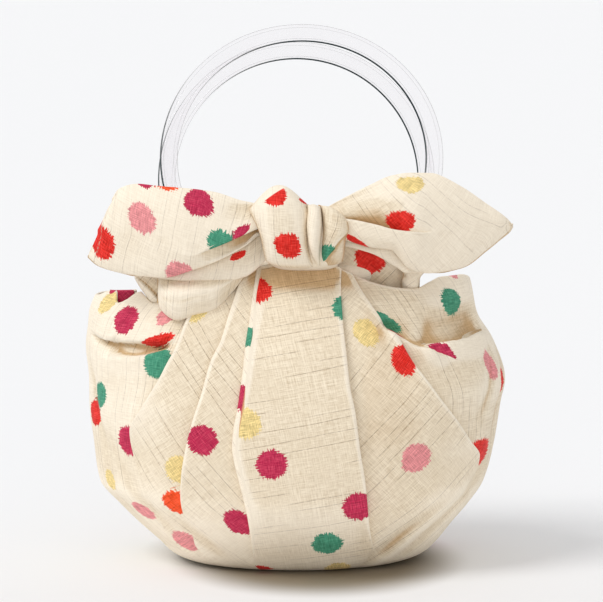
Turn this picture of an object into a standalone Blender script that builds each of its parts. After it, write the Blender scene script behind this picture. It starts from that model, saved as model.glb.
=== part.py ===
"""A small wrapping-cloth bag: one square of cloth tied round two clear ring handles.

The cloth is one piece. Its middle is the pouch, with pleats that fan out from the knots. Two
neighbouring corners pass round the front ring and are tied in front of it, the other two go round
the back ring, and the four corners stand out as tails. The origin is the middle of the flat base,
+Z is up and -Y is the front. Tables and shapes are in millimetres, the scene is in metres.
"""

import math
from collections import namedtuple

import bmesh
import bpy
import numpy as np

MM = 0.001
CLOTH_THICK = 1.8

# The ring handles: outer width, rod, and the play that the cloth leaves round the rod.
RING_OUTER = 160.0
RING_ROD = 10.0
RING_TURNS = 64
RING_SIDES = 10
RING_PLAY = 0.45

# Where each ring's middle stands, and how far its top leans back.
Ring = namedtuple("Ring", "name across deep up lean")
RINGS = (
    Ring("ring_front", 2.0, 0.3, 229.0, 23.0),
    Ring("ring_back", -1.0, 37.0, 213.0, 6.5),
)

# The pouch by height: half widths to its left and right, half depths, and how square it is.
Section = namedtuple("Section", "up left right front back square")
POUCH = (
    Section(0.0, 57, 54, 37, 36, 2.2),
    Section(1.5, 65, 63, 44, 42, 2.2),
    Section(5.0, 73, 73, 51, 49, 2.2),
    Section(11.0, 79, 79.5, 58, 55, 2.2),
    Section(22.0, 91, 88.5, 66, 62, 2.2),
    Section(33.0, 101.5, 98, 71.5, 68, 2.2),
    Section(45.0, 111, 105, 75, 71, 2.2),
    Section(67.0, 114, 109, 78, 73, 2.2),
    Section(90.0, 116.5, 114, 76, 72, 2.15),
    Section(102.0, 116.5, 117, 73.5, 70, 2.1),
    Section(125.0, 118.5, 111, 66, 60, 2.05),
    Section(140.0, 117, 103, 58, 47, 2.0),
    Section(150.0, 113, 99.5, 52, 39, 2.0),
    Section(160.0, 106, 97, 44.5, 35, 1.95),
    Section(168.0, 99, 93, 39, 32, 1.9),
    Section(176.0, 92, 90, 35, 30, 1.9),
)

# The mouth's edge, by the angle from the front round past the right side.
Rim = namedtuple("Rim", "angle up")
RIM = (
    Rim(-180, 152), Rim(-165, 150), Rim(-150, 144), Rim(-136, 142), Rim(-120, 148),
    Rim(-105, 151), Rim(-90, 151), Rim(-68, 153), Rim(-58, 149), Rim(-50, 146),
    Rim(-40, 151), Rim(-30, 158), Rim(-20, 164), Rim(-12, 171), Rim(0, 173),
    Rim(12, 172), Rim(18, 168), Rim(26, 161.5), Rim(34, 158.5), Rim(42, 157.5),
    Rim(49, 160.5), Rim(57, 163), Rim(72, 163), Rim(90, 161), Rim(106, 158),
    Rim(122, 149), Rim(138, 142), Rim(152, 144), Rim(166, 150), Rim(180, 152),
)

# Each pleat edge as (across, up) points from its top down, the side that lies on top, how proud
# that side stands, and the heights between which the pleat runs out.
Pleat = namedtuple("Pleat", "path over proud fades gone")
FRONT_PLEATS = (
    Pleat(((-52, 160), (-61, 144), (-68.5, 126), (-77, 110), (-86.5, 94), (-93, 81), (-86, 50), (-74, 20)),
          "right", 3.0, 95, 66),
    Pleat(((-29, 172), (-38, 146), (-43, 131), (-47.7, 122), (-53, 104), (-58.6, 87), (-62.4, 71),
           (-64.5, 57), (-65, 46), (-58, 15)),
          "right", 3.6, 70, 36),
    Pleat(((-20, 172), (-26.5, 142), (-29, 128), (-31, 112), (-33, 98), (-35.7, 84), (-36.3, 76),
           (-35.2, 68), (-32.5, 57), (-27.6, 35), (-24, 5)),
          "right", 4.2, 40, 6),
    Pleat(((24, 172), (23.5, 161), (24.5, 143), (26.2, 128), (28.3, 109), (31.1, 95), (33.8, 74),
           (36.5, 57), (39.2, 30), (42, 14)),
          "left", 4.2, 40, 6),
    Pleat(((27, 172), (36.5, 156), (44.6, 145), (53.3, 133), (63, 120), (71.7, 109), (79, 99),
           (87, 88), (94.5, 76), (101, 65), (99, 45), (84, 18)),
          "left", 3.6, 72, 52),
)
BACK_PLEATS = (
    Pleat(((60, 150), (72, 124), (84, 96), (90, 70), (84, 45), (72, 18)), "left", 3.0, 88, 62),
    Pleat(((30, 152), (39, 126), (50, 96), (58, 66), (62, 44), (54, 14)), "left", 3.4, 66, 36),
    Pleat(((19, 152), (24, 126), (30, 98), (33, 72), (31, 50), (25, 6)), "left", 3.8, 40, 6),
    Pleat(((-22, 152), (-25, 126), (-28, 98), (-33, 68), (-37, 36), (-40, 12)), "right", 3.8, 40, 6),
    Pleat(((-28, 152), (-44, 128), (-62, 104), (-78, 84), (-92, 62), (-90, 44), (-76, 18)),
          "right", 3.4, 74, 50),
)

# The panels between the pleats: how far the lower side starts from the edge, how the upper side
# falls away behind it, the columns across each panel and the rows up the wall.
PLEAT_STEP = 2.2
PLEAT_FALL = 1.6
PLEAT_WIDEST = 0.985
FRONT_COLUMNS = (4, 4, 6, 6)
SIDE_COLUMNS = 12
PANEL_CROWN = 1.6
CROWN_FADES = (10.0, 60.0)
WALL_ROWS = 15
ROW_CROWDING = 1.35
BASE_RINGS = (0.62, 0.27)

# The soft folds of the sides: the middle of each trough, or of each ridge where the depth is
# negative, its reach round the pouch and up it, and how deep it is.
Trough = namedtuple("Trough", "angle up round tall deep")
TROUGHS = (
    Trough(60, 142, 26, 9, 5.5),
    Trough(72, 122, 22, 9, -2.5),
    Trough(-64, 130, 20, 7, 4.0),
    Trough(-58, 141, 16, 6, -2.5),
    Trough(122, 136, 22, 10, 4.0),
    Trough(-118, 134, 24, 10, 4.5),
    Trough(-70, 52, 9, 30, 2.0),
    Trough(100, 62, 10, 34, 2.0),
    Trough(-104, 70, 10, 36, 2.0),
)
# The slow unevenness of the cloth: how many waves go round, how high they are, and their turn.
Swell = namedtuple("Swell", "waves high turn")
SWELLS = (Swell(3, 0.9, 20.0), Swell(7, 0.6, 75.0))
SWELL_FADES = (8.0, 50.0)

# Each knot by height: its left and right sides and its front and back faces.
Lump = namedtuple("Lump", "up left right front back")
FRONT_KNOT = (
    Lump(166.0, -10, 18, -48, -32),
    Lump(169.0, -14, 22, -56, -28),
    Lump(173.0, -18, 25, -61, -26),
    Lump(180.0, -20, 27, -65, -27),
    Lump(190.0, -21, 27, -67, -30),
    Lump(199.0, -22, 27.5, -66, -32),
    Lump(205.0, -25, 26, -63, -35),
    Lump(209.5, -25, 18, -60, -38),
    Lump(213.5, -22, 3, -56, -42),
    Lump(217.0, -15, -6, -52, -46),
)
BACK_KNOT = (
    Lump(145.0, -14, 12, 32, 46),
    Lump(149.0, -21, 20, 27, 56),
    Lump(154.0, -25, 23, 26, 62),
    Lump(163.0, -27, 24, 28, 65),
    Lump(174.0, -27, 24, 30, 66),
    Lump(184.0, -25, 26, 34, 63),
    Lump(190.0, -16, 24, 38, 59),
    Lump(194.0, -4, 14, 43, 54),
)
KNOT_SIDES = 22
KNOT_SQUARE = 0.8
KNOT_CAPS = (1.5, 1.0)

# Each tail from the knot outwards: its upper fold and lower edge as (across, up), its depth there,
# how far it bellies out, how much cloth turns over behind the fold, and how far the lower edge tucks.
Span = namedtuple("Span", "top low deep belly behind tuck")
FRONT_LEFT_TAIL = (
    Span((-12, 203), (-11, 182), -50, 3, 4, 2),
    Span((-22, 207), (-21, 173), -51, 5, 8, 3),
    Span((-31.5, 209), (-28.5, 166.5), -51, 8, 12, 4),
    Span((-45, 213), (-43, 163.5), -51, 9, 22, 5),
    Span((-60, 215), (-60, 163), -50, 9, 30, 5),
    Span((-76, 216.5), (-78, 164.5), -47, 8, 30, 4),
    Span((-88, 217), (-98, 168.5), -43, 6, 22, 3),
    Span((-98, 214), (-115, 176.5), -39, 3, 9, 2),
)
FRONT_RIGHT_TAIL = (
    Span((13, 200), (13, 184), -50, 3, 3, 2),
    Span((24, 207), (24, 182), -51, 5, 6, 3),
    Span((40, 216), (40, 180), -52, 8, 10, 6),
    Span((61, 222.5), (62, 169.5), -51, 9, 14, 8),
    Span((81, 221), (81, 168.5), -48, 8, 10, 5),
    Span((99, 209.5), (98, 175), -44, 5, 6, 3),
    Span((111, 201), (111, 186), -41, 3, 4, 2),
    Span((117.5, 195.5), (117.5, 192), -39, 1, 3, 1),
)
BACK_LEFT_TAIL = (
    Span((-12, 180), (-12, 162), 48, -3, 3, -2),
    Span((-24, 186), (-25, 157), 50, -5, 7, -3),
    Span((-40, 195), (-42, 157), 52, -8, 12, -4),
    Span((-60, 201), (-62, 159), 52, -8, 14, -5),
    Span((-80, 199), (-83, 162), 49, -6, 10, -4),
    Span((-96, 189), (-98, 168), 45, -4, 6, -2),
    Span((-105, 180), (-105, 175), 42, -1, 3, -1),
)
BACK_RIGHT_TAIL = (
    Span((12, 182), (12, 164), 48, -3, 3, -2),
    Span((24, 187), (25, 157), 50, -5, 7, -3),
    Span((40, 194), (42, 155), 52, -8, 16, -4),
    Span((60, 199), (62, 157), 52, -9, 20, -5),
    Span((78, 198), (82, 163), 48, -6, 15, -4),
    Span((91, 193), (98, 174), 43, -3, 6, -2),
)
TAIL_STATIONS = 13
TAIL_ROWS = 9
TURN_OVER_GAP = 5.0

# The section of a tail from the cloth behind its fold to its lower edge: the share of the way round
# it, the share of the way down its front, and its share of the belly there.
Bend = namedtuple("Bend", "round down belly")
TAIL_BENDS = (Bend(0.2, 0.0, 0.0), Bend(0.4, 0.22, 0.75), Bend(0.6, 0.55, 1.0), Bend(0.82, 0.85, 0.7))
TUCK_SHARE = 0.6

# The loop of cloth that swings from the knot to the left, below the tail.
SWAG = (
    Span((-14, 176), (-14, 170), -52, 2, 2, 2),
    Span((-28, 171), (-27, 164), -58, 3, 3, 3),
    Span((-38, 167), (-36, 156), -60, 5, 4, 5),
    Span((-51, 165), (-50, 147), -60, 7, 5, 8),
    Span((-66, 164), (-65, 142.5), -56, 7, 6, 10),
    Span((-78, 162), (-77, 147), -48, 5, 6, 10),
    Span((-84, 158), (-83, 150), -40, 2, 4, 6),
)
SWAG_STATIONS = 11
SWAG_ROWS = 8

# The cloth that wraps each ring where it is tied: how far each side of the ring's lowest point it
# reaches, and its own radius in the middle and at its ends.
Sleeve = namedtuple("Sleeve", "reach middle end")
SLEEVES = (Sleeve(33.0, 10.5, 8.6), Sleeve(30.0, 10.5, 8.6))
SLEEVE_STATIONS = 11
SLEEVE_SIDES = 12

CLOTH_COLOUR = (0.84, 0.77, 0.62, 1.0)
RING_COLOUR = (0.93, 0.96, 0.96, 1.0)


def clear_scene():
    """Remove every object of the open scene."""
    for thing in list(bpy.data.objects):
        bpy.data.objects.remove(thing)


def make_collection(name):
    """A new collection, linked to the scene."""
    group = bpy.data.collections.new(name)
    bpy.context.scene.collection.children.link(group)
    return group


def make_material(name, colour, roughness, clear=0.0):
    """A Principled material of one colour, with its share of clear transmission."""
    material = bpy.data.materials.new(name)
    material.use_nodes = True
    shader = material.node_tree.nodes["Principled BSDF"]
    shader.inputs["Base Color"].default_value = colour
    shader.inputs["Roughness"].default_value = roughness
    shader.inputs["Metallic"].default_value = 0.0
    shader.inputs["Transmission Weight"].default_value = clear
    return material


def smooth_read(xs, ys, at):
    """A smooth curve through (xs, ys) that never overshoots them, read at the given places."""
    xs, ys = np.asarray(xs, float), np.asarray(ys, float)
    gaps, rises = np.diff(xs), np.diff(ys)
    slopes = rises / gaps
    turns = np.zeros(len(xs))
    turns[0], turns[-1] = slopes[0], slopes[-1]
    for i in range(1, len(xs) - 1):
        if slopes[i - 1] * slopes[i] > 0:
            near, far = 2 * gaps[i] + gaps[i - 1], gaps[i] + 2 * gaps[i - 1]
            turns[i] = (near + far) / (near / slopes[i - 1] + far / slopes[i])
    at = np.clip(at, xs[0], xs[-1])
    i = np.clip(np.searchsorted(xs, at) - 1, 0, len(xs) - 2)
    t = (at - xs[i]) / gaps[i]
    return (
        (1 + 2 * t) * (1 - t) ** 2 * ys[i]
        + t * (1 - t) ** 2 * gaps[i] * turns[i]
        + t * t * (3 - 2 * t) * ys[i + 1]
        + t * t * (t - 1) * gaps[i] * turns[i + 1]
    )


def fade(value, low, high):
    """0 at or below low and 1 at or above high, with a soft start and end."""
    t = min(1.0, max(0.0, (value - low) / (high - low)))
    return t * t * (3 - 2 * t)


def column(table, name, at):
    """One named column of a table of sections, read at a height."""
    return float(smooth_read([row.up for row in table], [getattr(row, name) for row in table], at))


def rim_height(angle):
    """How high the mouth's edge stands at an angle in degrees."""
    return float(smooth_read([row.angle for row in RIM], [row.up for row in RIM], angle))


def pouch_point(angle, up, proud):
    """A point of the pouch's outside, in millimetres, standing proud of its plain shape."""
    side = math.sin(math.radians(angle))
    face = math.cos(math.radians(angle))
    wide = column(POUCH, "right" if side > 0 else "left", up)
    deep = column(POUCH, "front" if face > 0 else "back", up)
    power = 2 / column(POUCH, "square", up)
    x = math.copysign(wide * abs(side) ** power, side)
    y = -math.copysign(deep * abs(face) ** power, face)
    out = np.array([x / wide**2, y / deep**2])
    out /= np.linalg.norm(out)
    return np.array([x + out[0] * proud, y + out[1] * proud, up])


def pleat_angle(pleat, back, up):
    """The angle round the pouch of a pleat's edge at a height, which it keeps past its path's ends."""
    path = pleat.path[::-1]
    up = min(max(up, path[0][1]), path[-1][1])
    across = float(smooth_read([p[1] for p in path], [p[0] for p in path], up))
    wide = column(POUCH, "right" if across > 0 else "left", up)
    share = min(PLEAT_WIDEST, abs(across) / wide) ** (column(POUCH, "square", up) / 2)
    angle = math.degrees(math.copysign(math.asin(share), across))
    return 180.0 - angle if back else angle


def pleat_proud(pleat, up):
    """How far a pleat's upper side stands proud at a height."""
    return pleat.proud * fade(up, pleat.gone, pleat.fades)


def unevenness(angle, up):
    """The slow swells and the soft side folds at a place on the pouch."""
    level = fade(up, *SWELL_FADES)
    out = level * sum(s.high * math.sin(math.radians(s.waves * angle + s.turn)) for s in SWELLS)
    for fold in TROUGHS:
        away = wrapped(angle - fold.angle) / fold.round
        out -= fold.deep * math.exp(-away * away - ((up - fold.up) / fold.tall) ** 2)
    return out


def panel_column(start, end, turn, share):
    """One column of a panel, at a share of the way from one pleat edge to the next.

    It is a function of height that gives the column's angle and how proud it is there. Where the
    panel is on top of its neighbour it stands proud at the edge that they share. Where it is
    below, it starts a small step away from that edge, at the plain surface.
    """
    low_pleat, low_back = start
    high_pleat, high_back = end
    low_over = (low_pleat.over == "right") != low_back
    high_over = (high_pleat.over == "left") != high_back

    def at(up):
        step = math.degrees(PLEAT_STEP / column(POUCH, "front", up))
        low = pleat_angle(low_pleat, low_back, up) + (0.0 if low_over else step)
        high = pleat_angle(high_pleat, high_back, up) + turn - (0.0 if high_over else step)
        angle = low + (high - low) * share
        proud = PANEL_CROWN * math.sin(math.pi * share) * fade(up, *CROWN_FADES)
        if low_over:
            proud += pleat_proud(low_pleat, up) * (1 - share) ** PLEAT_FALL
        if high_over:
            proud += pleat_proud(high_pleat, up) * share**PLEAT_FALL
        return angle, proud + unevenness(angle, up)

    return at


def pouch_columns():
    """The columns of every panel, from the leftmost pleat of the front round past the right side."""
    edges = [(pleat, False) for pleat in FRONT_PLEATS] + [(pleat, True) for pleat in BACK_PLEATS]
    counts = FRONT_COLUMNS + (SIDE_COLUMNS,) + FRONT_COLUMNS + (SIDE_COLUMNS,)
    made = []
    for number, count in enumerate(counts):
        last = number + 1 == len(edges)
        end = edges[0] if last else edges[number + 1]
        for step in range(count + 1):
            made.append(panel_column(edges[number], end, 360.0 if last else 0.0, step / count))
    return made


def wrapped(angle):
    """The same angle, from -180 to 180 degrees."""
    return (angle + 180.0) % 360.0 - 180.0


def loft(name, rows, closed_rows, cap_low=None, cap_high=None):
    """A surface through rows of points of equal length, in millimetres.

    closed_rows joins each row's end to its start. A cap is a point that closes the first or the
    last row with a fan of triangles.
    """
    shape = bmesh.new()
    grid = [[shape.verts.new([c * MM for c in point]) for point in row] for row in rows]
    length = len(grid[0])
    spans = length if closed_rows else length - 1
    for low, high in zip(grid, grid[1:]):
        for i in range(spans):
            j = (i + 1) % length
            shape.faces.new((low[i], low[j], high[j], high[i]))
    if cap_low is not None:
        tip = shape.verts.new([c * MM for c in cap_low])
        for i in range(spans):
            shape.faces.new((tip, grid[0][(i + 1) % length], grid[0][i]))
    if cap_high is not None:
        tip = shape.verts.new([c * MM for c in cap_high])
        for i in range(spans):
            shape.faces.new((tip, grid[-1][i], grid[-1][(i + 1) % length]))
    mesh = bpy.data.meshes.new(name)
    shape.to_mesh(mesh)
    shape.free()
    return bpy.data.objects.new(name, mesh)


def make_pouch():
    """The pouch: pleated walls from the mouth's edge down, and a flat base."""
    columns = pouch_columns()
    rows = []
    for number in range(WALL_ROWS + 1):
        share = number / WALL_ROWS
        row = []
        for place in columns:
            up = 100.0
            for _ in range(3):
                up = rim_height(wrapped(place(up)[0]))
            up *= 1 - (1 - share) ** ROW_CROWDING
            angle, proud = place(up)
            row.append(pouch_point(wrapped(angle), up, proud))
        rows.append(row)
    foot = rows[0]
    for size in BASE_RINGS:
        rows.insert(0, [np.array([p[0] * size, p[1] * size, 0.0]) for p in foot])
    pouch = loft("cloth", rows, True, cap_low=(0.0, 0.0, 0.0))
    shell = pouch.modifiers.new("thickness", "SOLIDIFY")
    shell.thickness = CLOTH_THICK * MM
    shell.offset = -1.0
    return pouch


def make_knot(name, table):
    """A knot as a closed lump with soft edges, turned from its outline by height."""
    rows = []
    for lump in table:
        wide, deep = (lump.right - lump.left) / 2, abs(lump.back - lump.front) / 2
        middle = ((lump.left + lump.right) / 2, (lump.front + lump.back) / 2)
        row = []
        for i in range(KNOT_SIDES):
            turn = 2 * math.pi * i / KNOT_SIDES
            side, face = math.sin(turn), math.cos(turn)
            row.append((
                middle[0] + math.copysign(wide * abs(side) ** KNOT_SQUARE, side),
                middle[1] - math.copysign(deep * abs(face) ** KNOT_SQUARE, face),
                lump.up,
            ))
        rows.append(row)
    low = np.mean(rows[0], axis=0) - (0, 0, KNOT_CAPS[0])
    high = np.mean(rows[-1], axis=0) + (0, 0, KNOT_CAPS[1])
    return loft(name, rows, True, cap_low=low, cap_high=high)


def make_tail(name, table, stations, count):
    """A tail or loop of cloth: a sheet that turns over its upper fold and bellies out below it."""
    steps = range(len(table))

    def read(values, at):
        return float(smooth_read(steps, values, at))

    rows = []
    for at in np.linspace(0, len(table) - 1, stations):
        top = [read([span.top[k] for span in table], at) for k in (0, 1)]
        low = [read([span.low[k] for span in table], at) for k in (0, 1)]
        deep = read([span.deep for span in table], at)
        belly = read([span.belly for span in table], at)
        behind = read([span.behind for span in table], at)
        tuck = read([span.tuck for span in table], at)
        gap = math.copysign(TURN_OVER_GAP, belly)
        hem = Bend(0.0, behind / max(1.0, top[1] - low[1]), 0.0)
        edge = Bend(1.0, 1.0, 0.0)
        bends = (hem, *TAIL_BENDS, edge)
        outs = [gap, *(-belly * bend.belly for bend in TAIL_BENDS), tuck * TUCK_SHARE]
        row = []
        for share in np.linspace(0, 1, count):
            down = float(smooth_read([bend.round for bend in bends], [bend.down for bend in bends], share))
            out = float(smooth_read([bend.round for bend in bends], outs, share))
            row.append((top[0] + (low[0] - top[0]) * down, deep + out, top[1] + (low[1] - top[1]) * down))
        rows.append(row)
    tail = loft(name, rows, False)
    sheet = tail.modifiers.new("thickness", "SOLIDIFY")
    sheet.thickness = CLOTH_THICK * MM
    sheet.offset = 0.0
    return tail


def ring_point(ring, radius, turn):
    """A point in a ring's plane, at an angle in degrees from its lowest point, and the way out there."""
    lean = math.radians(ring.lean)
    upward = np.array([0.0, math.sin(lean), math.cos(lean)])
    side = np.array([1.0, 0.0, 0.0])
    out = side * math.sin(math.radians(turn)) - upward * math.cos(math.radians(turn))
    return np.array([ring.across, ring.deep, ring.up]) + out * radius, out


def make_sleeve(name, ring, sleeve):
    """The cloth wrapped round a ring's lower part, as a closed tube that the ring passes through."""
    lean = math.radians(ring.lean)
    normal = np.array([0.0, -math.cos(lean), math.sin(lean)])
    radius = (RING_OUTER - RING_ROD) / 2
    rows = []
    for number in range(SLEEVE_STATIONS):
        share = 2 * number / (SLEEVE_STATIONS - 1) - 1
        middle, out = ring_point(ring, radius, share * sleeve.reach)
        thick = sleeve.middle + (sleeve.end - sleeve.middle) * share * share
        row = []
        for i in range(SLEEVE_SIDES):
            turn = 2 * math.pi * i / SLEEVE_SIDES
            row.append(middle + thick * (out * math.cos(turn) + normal * math.sin(turn)))
        rows.append(row)
    return loft(name, rows, True, cap_low=np.mean(rows[0], axis=0), cap_high=np.mean(rows[-1], axis=0))


def make_ring(name, ring, rod):
    """A ring handle, or the channel round it, as a torus that leans with its ring."""
    bpy.ops.mesh.primitive_torus_add(
        major_radius=(RING_OUTER - RING_ROD) / 2 * MM,
        minor_radius=rod / 2 * MM,
        major_segments=RING_TURNS,
        minor_segments=RING_SIDES,
        location=(ring.across * MM, ring.deep * MM, ring.up * MM),
        rotation=(math.radians(90.0 - ring.lean), 0.0, 0.0),
    )
    made = bpy.context.active_object
    made.name = name
    made.data.name = name
    made.data.shade_smooth()
    for group in list(made.users_collection):
        group.objects.unlink(made)
    return made


def face_outward(thing):
    """Turn every face of a closed or open lofted surface to point out of its body."""
    shape = bmesh.new()
    shape.from_mesh(thing.data)
    bmesh.ops.recalc_face_normals(shape, faces=shape.faces)
    shape.to_mesh(thing.data)
    shape.free()


def as_guide(thing, group):
    """Keep a helper out of the picture and in its own collection."""
    group.objects.link(thing)
    thing.hide_render = True
    thing.display_type = "WIRE"


def main():
    """Build the cloth and the two rings."""
    clear_scene()
    parts = make_collection("furoshiki_bag")
    guides = make_collection("guides")
    cloth_finish = make_material("cloth", CLOTH_COLOUR, 0.85)
    ring_finish = make_material("clear_ring", RING_COLOUR, 0.05, clear=1.0)

    cloth = make_pouch()
    parts.objects.link(cloth)
    cloth.data.materials.append(cloth_finish)
    joined = [
        make_knot("knot_front", FRONT_KNOT),
        make_knot("knot_back", BACK_KNOT),
        make_sleeve("sleeve_front", RINGS[0], SLEEVES[0]),
        make_sleeve("sleeve_back", RINGS[1], SLEEVES[1]),
        make_tail("tail_front_left", FRONT_LEFT_TAIL, TAIL_STATIONS, TAIL_ROWS),
        make_tail("tail_front_right", FRONT_RIGHT_TAIL, TAIL_STATIONS, TAIL_ROWS),
        make_tail("tail_back_left", BACK_LEFT_TAIL, TAIL_STATIONS, TAIL_ROWS),
        make_tail("tail_back_right", BACK_RIGHT_TAIL, TAIL_STATIONS, TAIL_ROWS),
        make_tail("swag_left", SWAG, SWAG_STATIONS, SWAG_ROWS),
    ]
    for piece in joined:
        face_outward(piece)
        as_guide(piece, guides)
        join = cloth.modifiers.new(piece.name, "BOOLEAN")
        join.operation = "UNION"
        join.object = piece
    for ring in RINGS:
        channel = make_ring(ring.name + "_channel", ring, RING_ROD + 2 * RING_PLAY)
        as_guide(channel, guides)
        cut = cloth.modifiers.new(channel.name, "BOOLEAN")
        cut.operation = "DIFFERENCE"
        cut.object = channel
        handle = make_ring(ring.name, ring, RING_ROD)
        parts.objects.link(handle)
        handle.data.materials.append(ring_finish)


main()
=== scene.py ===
"""Dresses the wrapping-cloth bag: the pleated cloth with its knots and tails, and two clear ring handles.

Tables and shapes are in millimetres, and the objects are in metres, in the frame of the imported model.
"""

import logging
import math
from dataclasses import dataclass, field
from enum import Enum
from typing import Callable

import bpy
import numpy as np
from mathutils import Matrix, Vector


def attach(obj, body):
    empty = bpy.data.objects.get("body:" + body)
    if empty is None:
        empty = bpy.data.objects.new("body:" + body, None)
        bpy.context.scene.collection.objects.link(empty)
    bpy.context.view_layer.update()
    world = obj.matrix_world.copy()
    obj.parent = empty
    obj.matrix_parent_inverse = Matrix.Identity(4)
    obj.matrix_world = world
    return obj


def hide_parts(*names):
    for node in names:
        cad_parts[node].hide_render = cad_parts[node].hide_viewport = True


MM = 0.001
LOG = logging.getLogger("bag")

# how far away, in millimetres and in radii, a hem or a dot counts as none
NO_HEM = 99.0
NO_DOT = 9.0

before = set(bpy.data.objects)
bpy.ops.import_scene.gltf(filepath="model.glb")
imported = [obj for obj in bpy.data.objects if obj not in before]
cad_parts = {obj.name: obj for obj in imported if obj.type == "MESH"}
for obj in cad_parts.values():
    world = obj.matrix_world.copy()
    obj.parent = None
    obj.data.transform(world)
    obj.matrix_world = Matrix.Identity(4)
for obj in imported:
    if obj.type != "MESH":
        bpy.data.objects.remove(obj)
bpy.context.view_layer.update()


class Panel(Enum):
    """A stretch of the cloth between two folds, on which the weave runs one way."""

    LEFT_OUTER = 0
    LEFT_INNER = 1
    CENTRE = 2
    RIGHT_INNER = 3
    RIGHT_SIDE = 4
    BACK_RIGHT = 5
    BACK_INNER = 6
    BACK_CENTRE = 7
    BACK_LEFT = 8
    LEFT_SIDE = 9
    LINING = 10
    LEFT_TAIL = 11
    RIGHT_TAIL = 12
    LOOP = 13
    KNOT_WIDE = 14
    KNOT_NARROW = 15
    KNOT_RIGHT = 16
    KNOT_CORE = 17
    GUSSET = 18
    BACK_TAIL_LEFT = 19
    BACK_TAIL_RIGHT = 20
    BACK_KNOT = 21
    SLEEVE = 22
    SIDE_BAND = 23


# the way that the slubs run on each panel, in degrees from level
SLUB_SLANT = {
    Panel.LEFT_OUTER: -57.0,
    Panel.LEFT_INNER: -52.0,
    Panel.CENTRE: 11.0,
    Panel.RIGHT_INNER: 47.0,
    Panel.RIGHT_SIDE: 92.0,
    Panel.BACK_RIGHT: 60.0,
    Panel.BACK_INNER: 35.0,
    Panel.BACK_CENTRE: 4.0,
    Panel.BACK_LEFT: -50.0,
    Panel.LEFT_SIDE: 88.0,
    Panel.LINING: 30.0,
    Panel.LEFT_TAIL: 77.0,
    Panel.RIGHT_TAIL: -48.0,
    Panel.LOOP: 84.0,
    Panel.KNOT_WIDE: 86.0,
    Panel.KNOT_NARROW: 82.0,
    Panel.KNOT_RIGHT: 74.0,
    Panel.KNOT_CORE: 60.0,
    Panel.GUSSET: 40.0,
    Panel.BACK_TAIL_LEFT: 70.0,
    Panel.BACK_TAIL_RIGHT: -65.0,
    Panel.BACK_KNOT: 80.0,
    Panel.SLEEVE: 88.0,
    Panel.SIDE_BAND: -60.0,
}


class Dye(Enum):
    """The colours of the dots, as they look in soft light."""

    MAGENTA = (0.53, 0.014, 0.075)
    RED = (0.76, 0.012, 0.005)
    ORANGE = (0.92, 0.075, 0.008)
    GREEN = (0.050, 0.300, 0.182)
    PINK = (0.80, 0.290, 0.300)
    YELLOW = (0.84, 0.650, 0.275)


@dataclass(frozen=True)
class Dot:
    """One woven dot, by its middle as seen from the front, in the plane through the bag's middle.

    cut is where a fold hides a part of it: the way that the seen part lies, in degrees, and how far
    past the middle the fold runs, in radii. squash is the way in which it looks narrow, in degrees,
    and how narrow.
    """

    panel: Panel
    dye: Dye
    across: float
    up: float
    radius: float = 8.5
    cut: tuple[float, float] | None = None
    squash: tuple[float, float] = (0.0, 1.0)


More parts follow.
